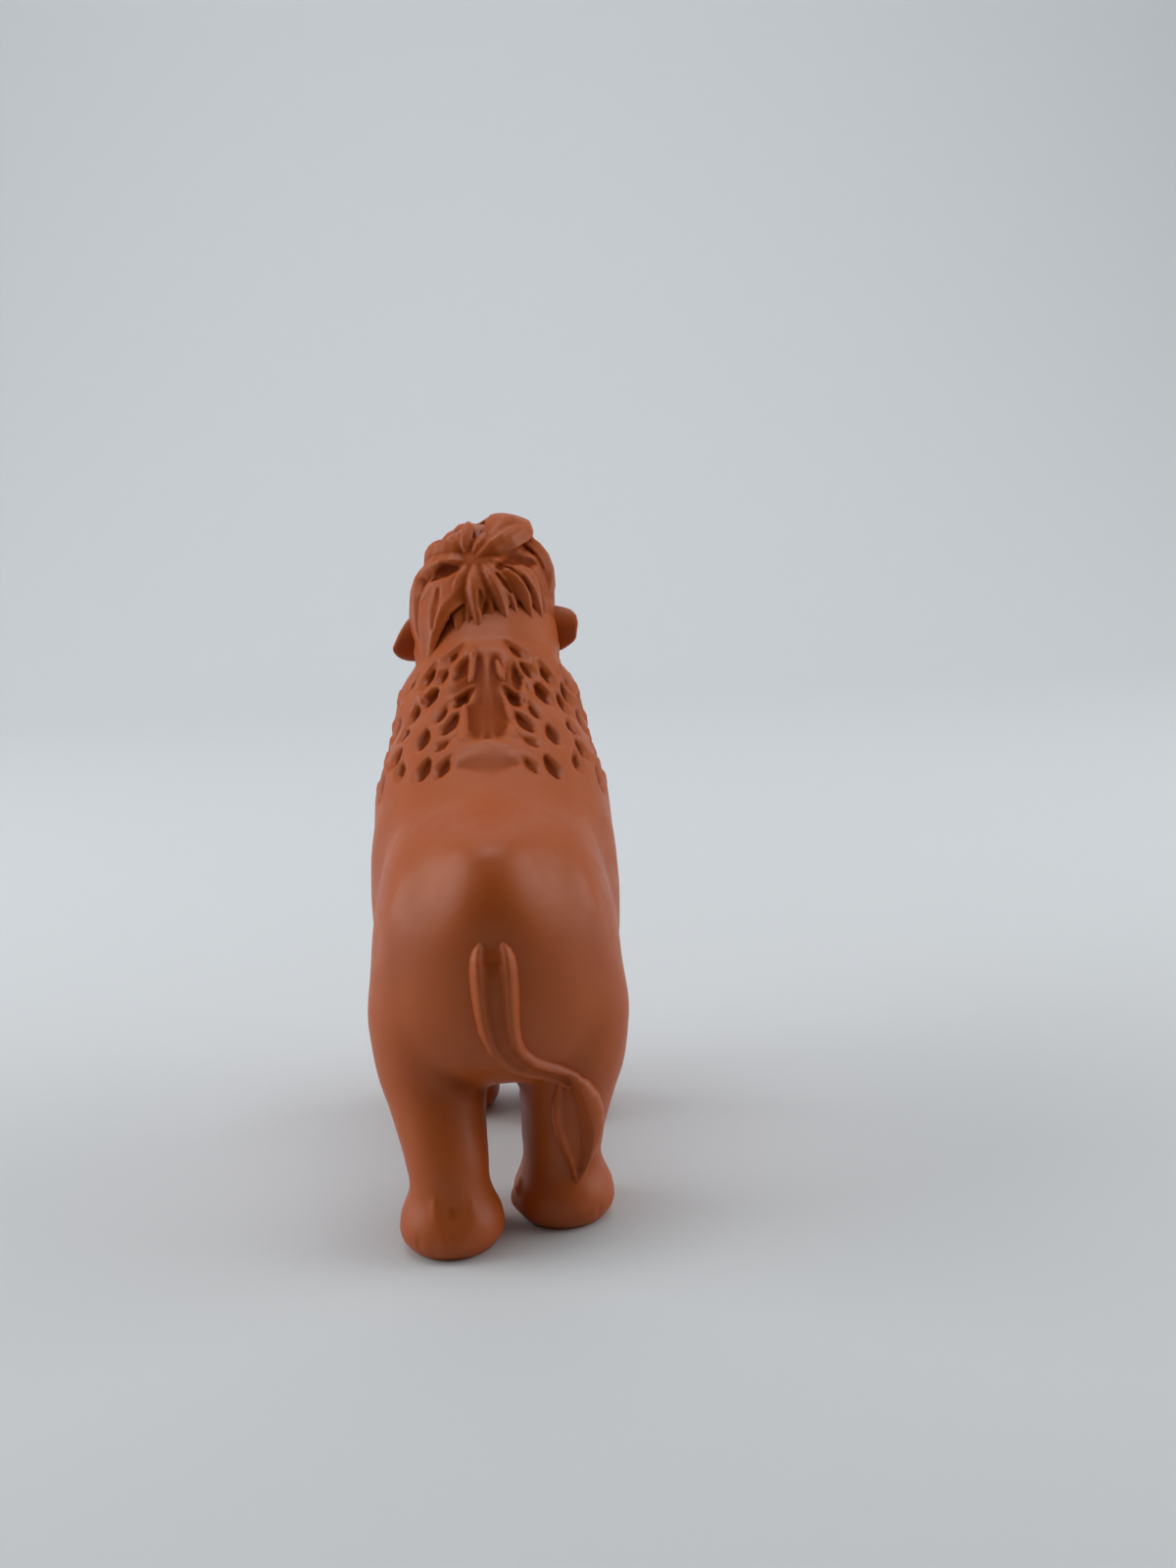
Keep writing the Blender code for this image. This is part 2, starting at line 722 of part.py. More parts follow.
def ear_leaf(side, extra=0.0):
    """A leaf whose upper and lower edges bend forwards, made larger by the extra all round."""
    place, outward, depth_way, upright = ear_frame(side)
    rings = []
    for along, height_share, thickness_share in EAR_RING_SHARES:
        centre = place + outward * (along * (EAR_WIDTH + extra))
        half_thickness = thickness_share * EAR_THICKNESS / 2.0 + extra
        half_height = height_share * EAR_HEIGHT / 2.0 + extra
        points = ring(centre, depth_way, upright, half_thickness, half_height, sides=PEG_SIDES)
        bent = []
        for point in points:
            reach = (point - centre).dot(upright) / (EAR_HEIGHT / 2.0)
            bent.append(point + depth_way * (EAR_CUP_DEPTH * reach * reach))
        rings.append(bent)
    return loft("ear_leaf", rings)


def make_ear(side, clearance_skin):
    """An ear with its peg, and the socket that the head needs for it."""
    place, outward, _, _ = ear_frame(side)
    ear = minus(ear_leaf(side), [clearance_skin])
    base = place + outward * (EAR_PEG_PLACE_SHARE * EAR_WIDTH)
    plug = peg("ear_peg", base, -outward, EAR_PEG_RADIUS, EAR_PEG_LENGTH)
    socket = peg(
        "ear_socket", base, -outward, EAR_PEG_RADIUS + SEAT_GAP, EAR_PEG_LENGTH + SEAT_GAP
    )
    return union(ear, [plug]), socket


def make_tusk(side):
    """A tusk, and the socket for its root."""
    root = from_head(side * TUSK_ROOT_SHARES[0], TUSK_ROOT_SHARES[1], TUSK_ROOT_SHARES[2])
    points = []
    radii = []
    last = len(TUSK_ROUTE_SHARES) - 1
    for index, (out_share, forward_share, up_share) in enumerate(TUSK_ROUTE_SHARES):
        offset = Vector((side * out_share, forward_share, up_share)) * TUSK_LENGTH
        points.append(root + offset)
        taper = index / last
        radii.append(TUSK_RADIUS * (1 - taper * taper * (1 - TUSK_TIP_SHARE)))
    backwards = (points[0] - points[1]).normalized() * SEAT_GAP
    socket_points = [points[0] + backwards, *points[1:]]
    socket_radii = [radius + SEAT_GAP for radius in radii]
    return tube("tusk", points, radii), tube("tusk_socket", socket_points, socket_radii)


def make_tail(tree, clearance_skin):
    """The tail with its tuft and peg, and the socket that the torso needs for it."""
    points = []
    radii = []
    for across_share, height_share, radius_share, sink_share in TAIL_ROUTE_SHARES:
        hit, normal = surface_from_behind(
            tree, across_share * BODY_WIDTH, height_share * WITHERS_HEIGHT
        )
        radius = radius_share * TAIL_RADIUS
        points.append(hit - normal * (radius * sink_share))
        radii.append(radius)
    rings = []
    for across_share, height_share, width_share, thickness_share in TUFT_RING_SHARES:
        hit, normal = surface_from_behind(
            tree, across_share * BODY_WIDTH, height_share * WITHERS_HEIGHT
        )
        half_width = width_share * TUFT_WIDTH / 2.0
        half_thickness = thickness_share * TUFT_THICKNESS / 2.0
        across = normal.cross(UP).normalized()
        rings.append(ring(hit, across, normal, half_width, half_thickness, sides=PEG_SIDES))
    tail = union(tube("tail", points, radii), [loft("tail_tuft", rings)])
    tail = minus(tail, [clearance_skin])
    hit, normal = surface_from_behind(tree, 0, TAIL_ROUTE_SHARES[2][1] * WITHERS_HEIGHT)
    plug = peg("tail_peg", hit, -normal, TAIL_PEG_RADIUS, TAIL_PEG_LENGTH, -TAIL_PEG_RADIUS)
    socket = peg(
        "tail_socket",
        hit,
        -normal,
        TAIL_PEG_RADIUS + SEAT_GAP,
        TAIL_PEG_LENGTH + SEAT_GAP,
        -TAIL_PEG_RADIUS,
    )
    return union(tail, [plug]), socket


def add_piece(name, mesh, material):
    """Put one finished moulding into the figure."""
    bm = bmesh.new()
    bm.from_mesh(mesh)
    bmesh.ops.remove_doubles(bm, verts=bm.verts, dist=WELD_DISTANCE)
    bm.to_mesh(mesh)
    bm.free()
    mesh.materials.clear()
    mesh.materials.append(material)
    mesh.shade_smooth()
    mesh.set_sharp_from_angle(angle=CREASE_ANGLE)
    obj = bpy.data.objects.new(name, mesh)
    FIGURE.objects.link(obj)
    return obj


def build_legs(legs, skin, seat):
    """Each leg moulding, and the sockets that the torso needs for their pegs."""
    meshes = {}
    sockets = []
    for leg in legs:
        base = leg.centre(seat, leg.lean_at(seat))
        lower = common(skin, [leg_block(leg, seat)])
        plug = peg("leg_peg", base, UP, LEG_PEG_RADIUS, LEG_PEG_LENGTH, -LEG_PEG_RADIUS)
        meshes[leg.name] = union(lower, [plug])
        sockets.append(
            peg(
                "leg_socket",
                base,
                UP,
                LEG_PEG_RADIUS + SEAT_GAP,
                LEG_PEG_LENGTH + SEAT_GAP,
                -LEG_PEG_RADIUS,
            )
        )
    return meshes, sockets


def build_figure():
    legs = make_legs()
    skin = make_skin(legs)
    tree = BVHTree.FromPolygons([v.co for v in skin.vertices], [p.vertices for p in skin.polygons])
    clearance_skin = fattened(skin, SEAT_GAP)
    seat = BELLY_HEIGHT - SEAT_BELOW_BELLY

    leg_meshes, torso_sockets = build_legs(legs, skin, seat)
    tail, tail_socket = make_tail(tree, clearance_skin)
    ears = {}
    tusks = {}
    head_sockets = []
    for side, label in ((-1, "left"), (1, "right")):
        ears[label], ear_socket = make_ear(side, clearance_skin)
        tusks[label], tusk_socket = make_tusk(side)
        head_sockets += [ear_socket, tusk_socket]
    hair, hair_socket = make_hair(tree, skin, clearance_skin)
    head_sockets.append(hair_socket)

    throat_way = UP.cross(NECK_NORMAL).cross(NECK_NORMAL).normalized()
    peg_base = NECK_SEAT + throat_way * (HEAD_PEG_PLACE_SHARE * NECK_DEPTH)
    head_plug = peg(
        "head_peg", peg_base, -NECK_NORMAL, HEAD_PEG_RADIUS, HEAD_PEG_LENGTH, -HEAD_PEG_RADIUS
    )
    torso_sockets.append(tail_socket)
    torso_sockets.append(
        peg(
            "head_socket",
            peg_base,
            -NECK_NORMAL,
            HEAD_PEG_RADIUS + SEAT_GAP,
            HEAD_PEG_LENGTH + SEAT_GAP,
            -HEAD_PEG_RADIUS,
        )
    )
    head = common(skin, [head_space(0)])
    head = minus(union(head, [head_plug]), head_sockets)
    leg_spaces = [leg_block(leg, seat + SEAT_GAP) for leg in legs]
    torso = minus(skin, [head_space(-SEAT_GAP), *leg_spaces, *torso_sockets])

    pieces = {"torso": torso, "head": head, "hair_tuft": hair, "tail": tail, **leg_meshes}
    pieces.update({f"ear_{label}": mesh for label, mesh in ears.items()})
    for name, mesh in pieces.items():
        add_piece(name, mesh, new_material(f"{name}_vinyl", VINYL_COLOUR))
    for label, mesh in tusks.items():
        add_piece(f"tusk_{label}", mesh, new_material(f"tusk_{label}_vinyl", TUSK_COLOUR))


def centre_figure():
    """Move the figure so that its bounding box is centred over the origin."""
    corners = []
    for obj in FIGURE.objects:
        corners += [vertex.co for vertex in obj.data.vertices]
    middle_x = (min(c.x for c in corners) + max(c.x for c in corners)) / 2.0
    middle_y = (min(c.y for c in corners) + max(c.y for c in corners)) / 2.0
    lowest = min(c.z for c in corners)
    for obj in FIGURE.objects:
        obj.location = (-middle_x, -middle_y, -lowest)


ACROSS = Vector((1, 0, 0))
FORWARD = Vector((0, 1, 0))
UP = Vector((0, 0, 1))
HEAD_CENTRE = Vector((0, HEAD_CENTRE_Y, HEAD_CENTRE_HEIGHT))
NECK_SEAT = HEAD_CENTRE - Vector((0, NECK_SEAT_BEHIND_HEAD, NECK_SEAT_BELOW_HEAD))
NECK_NORMAL = Vector((0, sin(NECK_SEAT_ANGLE), cos(NECK_SEAT_ANGLE)))
MIDDLE_Y = along_body((HIND_HIP_SHARE + FRONT_HIP_SHARE) / 2.0)
SOLE_TRIM = SEAT_GAP

clear_scene()
FIGURE = new_collection(FIGURE_NAME)
HELPERS = new_collection("helpers")
build_figure()
centre_figure()
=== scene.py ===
"""Scene of a toy figure: a young woolly mammoth moulded in satin brown vinyl.

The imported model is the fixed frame, in metres, with +Z up and the head towards +Y. Its torso, head
and legs are joined into one skin, because the real figure shows no seams. The skin is relaxed,
carved with the shaggy mane, the foot pads, the face and the trunk's folds, and cut again at the
seats of the model, so that every piece stands for its own node. Hair, ears, tail, tusks and eyes
are pieces of their own that sit on that skin.
"""

import logging
from dataclasses import dataclass, field
from enum import Enum
from math import cos, pi, radians, sin, tau

import bmesh
import bpy
import numpy as np
from mathutils import Matrix, Vector
from mathutils.bvhtree import BVHTree


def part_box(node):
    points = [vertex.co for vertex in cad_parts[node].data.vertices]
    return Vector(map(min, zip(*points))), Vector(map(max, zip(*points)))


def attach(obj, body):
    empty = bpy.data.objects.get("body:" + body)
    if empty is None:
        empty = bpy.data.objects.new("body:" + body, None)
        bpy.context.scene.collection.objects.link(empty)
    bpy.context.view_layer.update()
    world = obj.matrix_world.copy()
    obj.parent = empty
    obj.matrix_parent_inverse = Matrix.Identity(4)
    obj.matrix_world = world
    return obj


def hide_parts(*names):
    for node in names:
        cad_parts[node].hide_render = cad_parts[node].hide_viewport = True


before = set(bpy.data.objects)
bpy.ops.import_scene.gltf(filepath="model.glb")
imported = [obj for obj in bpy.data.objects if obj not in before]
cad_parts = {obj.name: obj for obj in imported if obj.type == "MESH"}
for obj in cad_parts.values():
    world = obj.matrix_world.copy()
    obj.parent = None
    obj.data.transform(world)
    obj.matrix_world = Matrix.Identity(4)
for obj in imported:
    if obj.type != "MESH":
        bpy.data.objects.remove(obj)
LOG = logging.getLogger("toy_figure")
Array = np.ndarray
Place = tuple[float, float, float]
# A carving's start and end, its width and its depth, all in mm.
Groove = tuple[Place, Place, float, float]
# Where a fade starts and how long it is, in mm. One with a negative length falls.
Fade = tuple[float, float]
MM = 0.001
# Points this close are one point, in metres.
WELD = 0.000002
# How far a pass of smoothing moves points to their neighbours' mean, and then back.
SMOOTHING = 0.5
SWELLING = 0.52
LEG_NODES = ("leg_hind_left", "leg_hind_right", "leg_front_left", "leg_front_right")
# A piece with more triangles than this is thinned.
MOST_TRIANGLES = 190_000
# The depth under its surroundings at which a point counts as fully hollow.
HOLLOW_DEPTH = 0.30 * MM
# Near and wide surroundings: how many times the passes of smoothing, and how much they count.
SURROUNDINGS = ((1, 1.0), (4, 0.55))
# A swept section's channel reaches this far to both sides, as a share of the half width.
CHANNEL_WIDTH = 0.56
# Sockets of a Mix node that mixes colours: its factor, its two colours and its result.
MIX_FACTOR, MIX_FIRST, MIX_SECOND, MIX_RESULT = 0, 6, 7, 2
# How much of their depth saucers and broad hollows add to the painted shade.
SAUCER_SHADE = 0.16
BROAD_SHADE = 0.45


class Side(Enum):
    """The animal's own left or right, as the sign of X."""

    LEFT = -1
    RIGHT = 1

    @property
    def label(self) -> str:
        """The word that piece names use."""
        return self.name.lower()


def linear(code: str) -> tuple[float, float, float, float]:
    """Turn an sRGB hex colour into linear light.

    Args:
        code: six hex digits.

    Returns:
        Red, green, blue and an alpha of one.
    """
    channels = []
    for start in (0, 2, 4):
        value = int(code[start : start + 2], 16) / 255
        channels.append(value / 12.92 if value <= 0.04045 else ((value + 0.055) / 1.055) ** 2.4)
    return (channels[0], channels[1], channels[2], 1.0)


def add_node(
    tree: bpy.types.NodeTree,
    kind: str,
    settings: dict[str, object] | None = None,
    links: dict[str, bpy.types.NodeSocket] | None = None,
) -> bpy.types.Node:
    """Add one shader node with its settings and its incoming links.

    Args:
        tree: the node tree that gets it.
        kind: Blender's name for the node.
        settings: values by the name of an input socket or of a property.
        links: output sockets by the name of the input that they feed.

    Returns:
        The new node.
    """
    node = tree.nodes.new(kind)
    for name, value in (settings or {}).items():
        if name in node.inputs:
            node.inputs[name].default_value = value
        else:
            setattr(node, name, value)
    for name, socket in (links or {}).items():
        tree.links.new(socket, node.inputs[name])
    return node


@dataclass(frozen=True)
class SatinVinyl:
    """Soft PVC cast in a metal mould and left unpainted.

    The mould's polished face gives an even satin skin with a broad, pale sheen at glancing angles.
    Plasticiser and mould release leave it slightly uneven in gloss. Hollows are darkened with
    painted shade and lose some sheen.
    """

    name: str
    body: str
    deep: str
    pale: str
    roughness: float = 0.43
    sheen: float = 0.34
    bloom_scale: float = 9.0 * MM
    gloss_scale: float = 2.6 * MM
    grain_scale: float = 0.16 * MM
    grain_height: float = 0.012 * MM

    def material(self) -> bpy.types.Material:
        """Build the procedural material on object coordinates.

        Returns:
            The material.
        """
        material = bpy.data.materials.new(self.name)
        material.use_nodes = True
        tree = material.node_tree
        shader = tree.nodes["Principled BSDF"]
        shader.inputs["IOR"].default_value = 1.5
        shader.inputs["Metallic"].default_value = 0.0
        where = add_node(tree, "ShaderNodeTexCoord").outputs["Object"]
        hollow = add_node(tree, "ShaderNodeAttribute", {"attribute_name": "hollow"}).outputs["Fac"]
        self.link_colour(shader, where, hollow)
        self.link_gloss(shader, where, hollow)
        self.link_grain(shader, where)
        return material

    def link_colour(
        self,
        shader: bpy.types.Node,
        where: bpy.types.NodeSocket,
        hollow: bpy.types.NodeSocket,
    ) -> None:
        """Feed the base colour, which drifts a little and carries painted shade in hollows.

        Args:
            shader: the material's shader.
            where: object coordinates.
            hollow: how far each place lies under its surroundings.
        """
        tree = shader.id_data
        # Slow drift of the pigment across the casting, a few percent of its colour.
        bloom = add_node(
            tree,
            "ShaderNodeTexNoise",
            {"Scale": 1.0 / self.bloom_scale, "Detail": 3.0, "Roughness": 0.55},
            {"Vector": where},
        ).outputs["Fac"]
        drift = add_node(
            tree,
            "ShaderNodeMapRange",
            {"From Min": 0.30, "From Max": 0.70, "To Min": 0.0, "To Max": 0.55},
            {"Value": bloom},
        ).outputs["Result"]
        body = add_node(tree, "ShaderNodeMix", {"data_type": "RGBA"})
        body.inputs[MIX_FIRST].default_value = linear(self.body)
        body.inputs[MIX_SECOND].default_value = linear(self.pale)
        tree.links.new(drift, body.inputs[MIX_FACTOR])
        # Painted shade: the colour of hollows is mixed towards a deeper red-brown.
        shade = add_node(
            tree,
            "ShaderNodeMapRange",
            {"From Min": 0.06, "From Max": 0.90, "To Min": 0.0, "To Max": 0.85},
            {"Value": hollow},
        ).outputs["Result"]
        shaded_body = add_node(tree, "ShaderNodeMix", {"data_type": "RGBA"})
        tree.links.new(shade, shaded_body.inputs[MIX_FACTOR])
        tree.links.new(body.outputs[MIX_RESULT], shaded_body.inputs[MIX_FIRST])
        shaded_body.inputs[MIX_SECOND].default_value = linear(self.deep)
        tree.links.new(shaded_body.outputs[MIX_RESULT], shader.inputs["Base Color"])

    def link_gloss(
        self,
        shader: bpy.types.Node,
        where: bpy.types.NodeSocket,
        hollow: bpy.types.NodeSocket,
    ) -> None:
        """Feed sheen, which hollows lose, and roughness, which lies in patches.

        Args:
            shader: the material's shader.
            where: object coordinates.
            hollow: how far each place lies under its surroundings.
        """
        tree = shader.id_data
        sheen = add_node(
            tree,
            "ShaderNodeMapRange",
            {"From Min": 0.0, "From Max": 0.60, "To Min": self.sheen, "To Max": 0.04},
            {"Value": hollow},
        ).outputs["Result"]
        shader.inputs["Specular IOR Level"].default_value = self.sheen
        tree.links.new(sheen, shader.inputs["Specular IOR Level"])
        # Patches of slightly higher and lower gloss, as mould release leaves them.
        patches = add_node(
            tree,
            "ShaderNodeTexNoise",
            {"Scale": 1.0 / self.gloss_scale, "Detail": 4.0, "Roughness": 0.6},
            {"Vector": where},
        ).outputs["Fac"]
        low, high = self.roughness - 0.05, self.roughness + 0.07
        gloss = add_node(
            tree,
            "ShaderNodeMapRange",
            {"From Min": 0.3, "From Max": 0.7, "To Min": low, "To Max": high},
            {"Value": patches},
        ).outputs["Result"]
        tree.links.new(gloss, shader.inputs["Roughness"])

    def link_grain(self, shader: bpy.types.Node, where: bpy.types.NodeSocket) -> None:
        """Feed a bump: the mould's blasted grain, drawn at 0.16 mm.

        Its real 0.05 mm would be too fine to show.

        Args:
            shader: the material's shader.
            where: object coordinates.
        """
        tree = shader.id_data
        grain = add_node(
            tree,
            "ShaderNodeTexNoise",
            {"Scale": 1.0 / self.grain_scale, "Detail": 2.0, "Roughness": 0.5},
            {"Vector": where},
        ).outputs["Fac"]
        bump = add_node(
            tree,
            "ShaderNodeBump",
            {"Strength": 0.35, "Distance": self.grain_height},
            {"Height": grain},
        ).outputs["Normal"]
        tree.links.new(bump, shader.inputs["Normal"])


@dataclass(frozen=True)
class BackdropPaper:
    """Seamless paper roll, matt and faintly blue-grey, lit as the figure is."""

    name: str
    colour: str
    roughness: float = 0.85

    def material(self) -> bpy.types.Material:
        """Build the backdrop's material.

        Returns:
            The material.
        """
        material = bpy.data.materials.new(self.name)
        material.use_nodes = True
        shader = material.node_tree.nodes["Principled BSDF"]
        shader.inputs["Base Color"].default_value = linear(self.colour)
        shader.inputs["Roughness"].default_value = self.roughness
        return material


BROWN_VINYL = SatinVinyl("cast_pvc_brown", body="A64C18", deep="622107", pale="B0561C")
IVORY_VINYL = SatinVinyl(
    "cast_pvc_ivory", body="DCCFB2", deep="9A8462", pale="E6DCC4", roughness=0.38
)
EYE_PAINT = SatinVinyl("painted_eye", body="2A160E", deep="140A06", pale="321C12", roughness=0.2)
PAPER = BackdropPaper("backdrop_paper", colour="CACED1")


class Surface:
    """Points, edges and normals of a mesh in arrays, so that code can relax and carve them."""

    def __init__(self, mesh: bpy.types.Mesh) -> None:
        """Read a mesh.

        Args:
            mesh: the mesh, which changes only when the points are written back.
        """
        self.mesh = mesh
        count = len(mesh.vertices)
        flat = np.empty(count * 3, np.float32)
        mesh.vertices.foreach_get("co", flat)
        self.points: Array = flat.reshape(-1, 3).astype(float)
        ends = np.empty(len(mesh.edges) * 2, np.int32)
        mesh.edges.foreach_get("vertices", ends)
        self.edges: Array = ends.reshape(-1, 2)
        self.degree: Array = np.maximum(np.bincount(ends, minlength=count), 1)[:, None]

    def neighbour_mean(self, points: Array) -> Array:
        """Average what each point's neighbours have.

        Args:
            points: a place for each point.

        Returns:
            The mean of each point's neighbours.
        """
        first, second = self.edges.T
        count = len(points)
        sums = np.empty_like(points)
        for axis in range(3):
            column = points[:, axis]
            sums[:, axis] = np.bincount(first, column[second], count)
            sums[:, axis] += np.bincount(second, column[first], count)
        return sums / self.degree

    def relax(self, steps: int, weight: Array | float = 1.0, keep_size: bool = True) -> None:
        """Smooth the surface.

        Args:
            steps: how many passes.
            weight: strength from 0 to 1, for all points or for each.
            keep_size: follow each pass with one that swells it back.
        """
        for _ in range(steps):
            self.points += SMOOTHING * weight * (self.neighbour_mean(self.points) - self.points)
            if keep_size:
                self.points -= SWELLING * weight * (self.neighbour_mean(self.points) - self.points)

    def normals(self) -> Array:
        """Write the points back and read the mesh's normals.

        Returns:
            Outward unit normals, one for each point.
        """
        self.write()
        flat = np.empty(len(self.points) * 3, np.float32)
        self.mesh.vertices.foreach_get("normal", flat)
        return flat.reshape(-1, 3).astype(float)

    def write(self) -> None:
        """Put the points back into the mesh."""
        self.mesh.vertices.foreach_set("co", self.points.astype(np.float32).ravel())
        self.mesh.update()

    def mark_hollows(self, steps: int, carved: Array | float = 0.0) -> None:
        """Store how far each point lies under its surroundings, as the attribute "hollow".

        Near surroundings show the small hollows, and wider ones the broad hollows.

        Args:
            steps: passes of smoothing that make the near surroundings.
            carved: further depth to count, in metres.
        """
        normals = self.normals()
        around = self.points.copy()
        under = np.zeros(len(around)) + carved / HOLLOW_DEPTH
        for times, share in SURROUNDINGS:
            for _ in range(times * steps):
                around = 0.5 * around + 0.5 * self.neighbour_mean(around)
            under += share * np.einsum("ij,ij->i", around - self.points, normals) / HOLLOW_DEPTH
        layer = self.mesh.attributes.new("hollow", "FLOAT", "POINT")
        layer.data.foreach_set("value", np.clip(under, -1.0, 1.0).astype(np.float32))


def ramp(values: Array, start: float, length: float) -> Array:
    """Fade from 0 at the start to 1 at its other end.

    Args:
        values: where each point lies.
        start: where the fade starts.
        length: how long it is, negative for one that falls.

    Returns:
        A share from 0 to 1 for each value.
    """
    return np.clip((values - start) / length, 0, 1)


def bell(points: Array, centre: Array, radii: Place) -> Array:
    """Fade from 1 at a centre to 0 around it.

    Args:
        points: places in metres.
        centre: the centre, in mm.
        radii: how far it fades along each axis, in mm.

    Returns:
        A share from 0 to 1 for each point.
    """
    rel = (points / MM - centre) / np.array(radii)
    return np.exp(-np.einsum("ij,ij->i", rel, rel))


def mesh_of(bm: bmesh.types.BMesh, name: str) -> bpy.types.Mesh:
    """Turn a bmesh into a mesh and free it.

    Args:
        bm: the bmesh.
        name: the mesh's name.

    Returns:
        The new mesh.
    """
    mesh = bpy.data.meshes.new(name)
    bm.to_mesh(mesh)
    bm.free()
    return mesh


def bmesh_of(mesh: bpy.types.Mesh) -> bmesh.types.BMesh:
    """Copy a mesh into a new bmesh.

    Args:
        mesh: the mesh, which stays as it is.

    Returns:
        The bmesh.
    """
    bm = bmesh.new()
    bm.from_mesh(mesh)
    return bm


def new_object(name: str, data: bpy.types.ID) -> bpy.types.Object:
    """Link data to the scene as an object at the origin.

    Args:
        name: the object's name.
        data: its mesh, light or camera.

    Returns:
        The object.
    """
    obj = bpy.data.objects.new(name, data)
    bpy.context.scene.collection.objects.link(obj)
    return obj


def add_part(bm: bmesh.types.BMesh, part: bmesh.types.BMesh) -> None:
    """Add one bmesh to another.

    Args:
        bm: the bmesh that gets it.
        part: what it gets, which this frees.
    """
    mesh = mesh_of(part, "part")
    bm.from_mesh(mesh)
    bpy.data.meshes.remove(mesh)


def merged_copy(mesh: bpy.types.Mesh) -> bmesh.types.BMesh:
    """Copy a node's loose triangles and weld them into one surface.

    Args:
        mesh: the node's mesh, which stays as it is.

    Returns:
        The welded copy.
    """
    bm = bmesh_of(mesh)
    bmesh.ops.remove_doubles(bm, verts=bm.verts, dist=WELD)
    bm.normal_update()
    return bm


def grown(bm: bmesh.types.BMesh, distance: float) -> None:
    """Move every point of a closed bmesh along its normal.

    Args:
        bm: the bmesh.
        distance: how far, in metres.
    """
    bm.normal_update()
    for vertex in bm.verts:
        vertex.co += vertex.normal * distance


def one_skin(bm: bmesh.types.BMesh, name: str, voxel: float) -> bpy.types.Mesh:
    """Wrap shapes that cross each other in one closed skin.

    Args:
        bm: the shapes, which this frees.
        name: the new mesh's name.
        voxel: the size of the grid that the skin is drawn on.

    Returns:
        The skin, without the small closed voids that a gap inside leaves.
    """
    source = mesh_of(bm, name + "_source")
    obj = new_object(name + "_source", source)
    remesh = obj.modifiers.new("voxels", "REMESH")
    remesh.mode = "VOXEL"
    remesh.voxel_size = voxel
    graph = bpy.context.evaluated_depsgraph_get()
    wrapped = bpy.data.meshes.new_from_object(obj.evaluated_get(graph))
    bpy.data.objects.remove(obj, do_unlink=True)
    bpy.data.meshes.remove(source)
    skin = bmesh_of(wrapped)
    bpy.data.meshes.remove(wrapped)
    keep_largest(skin)
    return mesh_of(skin, name)


def keep_largest(bm: bmesh.types.BMesh) -> None:
    """Delete every loose part of a bmesh but the one with the most points.

    Args:
        bm: the bmesh.
    """
    bm.verts.ensure_lookup_table()
    seen = [False] * len(bm.verts)
    parts = []
    for seed in bm.verts:
        if seen[seed.index]:
            continue
        seen[seed.index] = True
        part = [seed]
        for vertex in part:
            for edge in vertex.link_edges:
                other = edge.other_vert(vertex)
                if not seen[other.index]:
                    seen[other.index] = True
                    part.append(other)
        parts.append(part)
    parts.sort(key=len)
    for part in parts[:-1]:
        bmesh.ops.delete(bm, geom=part, context="VERTS")


def relaxed_skin(bm: bmesh.types.BMesh, name: str, voxel: float, passes: int) -> Surface:
    """Wrap shapes in one closed skin and smooth it.

    Args:
        bm: the shapes, which this frees.
        name: the new mesh's name.
        voxel: the size of the grid that the skin is drawn on.
        passes: how often it is smoothed.

    Returns:
        The skin's surface, whose mesh is up to date.
    """
    surface = Surface(one_skin(bm, name, voxel))
    surface.relax(passes)
    surface.write()
    return surface


def tree_of(mesh: bpy.types.Mesh) -> BVHTree:
    """Make a search tree over a mesh's faces.

    Args:
        mesh: the mesh.

    Returns:
        The tree, in metres.
    """
    bm = bmesh_of(mesh)
    tree = BVHTree.FromBMesh(bm)
    bm.free()
    return tree


@dataclass(frozen=True)
class Carving:
    """A drop-shaped hollow, or with a negative depth a ridge, between two places in mm.

    It is narrow at its start and widest near its end. A shallow saucer round a hollow leaves a
    ridge where it meets the saucer of the next one. Shade is how much of its depth is painted into
    the colour as shade. Where hollows that merge overlap, only the deepest counts.
    """

    start: Place
    end: Place
    width: float
    depth: float
    saucer: float = 0.0
    saucer_width: float = 3.7
    saucer_length: float = 5.6
    wide_at: float = 0.6
    shade: float = 0.16
    merges: bool = False

    def offsets(self, points: Array, normals: Array, facing: Array) -> tuple[Array, Array]:
        """Work out how far each point moves along its normal, in metres.

        Args:
            points: places on the surface.
            normals: their outward normals.
            facing: the surface's normal where the carving lies.

        Returns:
            One offset for each point for the drop, and one for its saucer.
        """
        start = np.array(self.start) * MM
        along = np.array(self.end) * MM - start
        length = float(np.linalg.norm(along))
        along /= length
        across = np.cross(facing, along)
        rel = points - start
        t = rel @ along / length
        side = rel @ across
        # Only the side of the surface that the carving lies on.
        near = (np.abs(rel @ facing) < 3 * MM) & (normals @ facing > 0.2)
        # Just under half as wide at both ends, which are round, as at its widest place.
        swell = np.where(t < self.wide_at, t / self.wide_at, (1 - t) / (1 - self.wide_at))
        half = 0.5 * self.width * MM * (0.45 + 0.55 * np.clip(swell, 0, 1) ** 0.7)
        past = np.maximum(np.maximum(-t, t - 1) * length, 0) / (0.35 * self.width * MM)
        radius2 = (side / half) ** 2 + past**2
        drop = -self.depth * MM * np.exp(-(radius2**1.4))
        # The saucer is an egg whose blunt end lies where the drop ends.
        tall = (t - 0.5) * length / (self.saucer_length * MM / 2)
        wide = side / (self.saucer_width * MM / 2 * np.clip(0.66 + 0.34 * tall, 0.2, 1))
        bowl = -self.saucer * MM * np.clip(1 - wide**2 - tall**2, 0, 1)
        return np.where(near, drop, 0.0), np.where(near, bowl, 0.0)


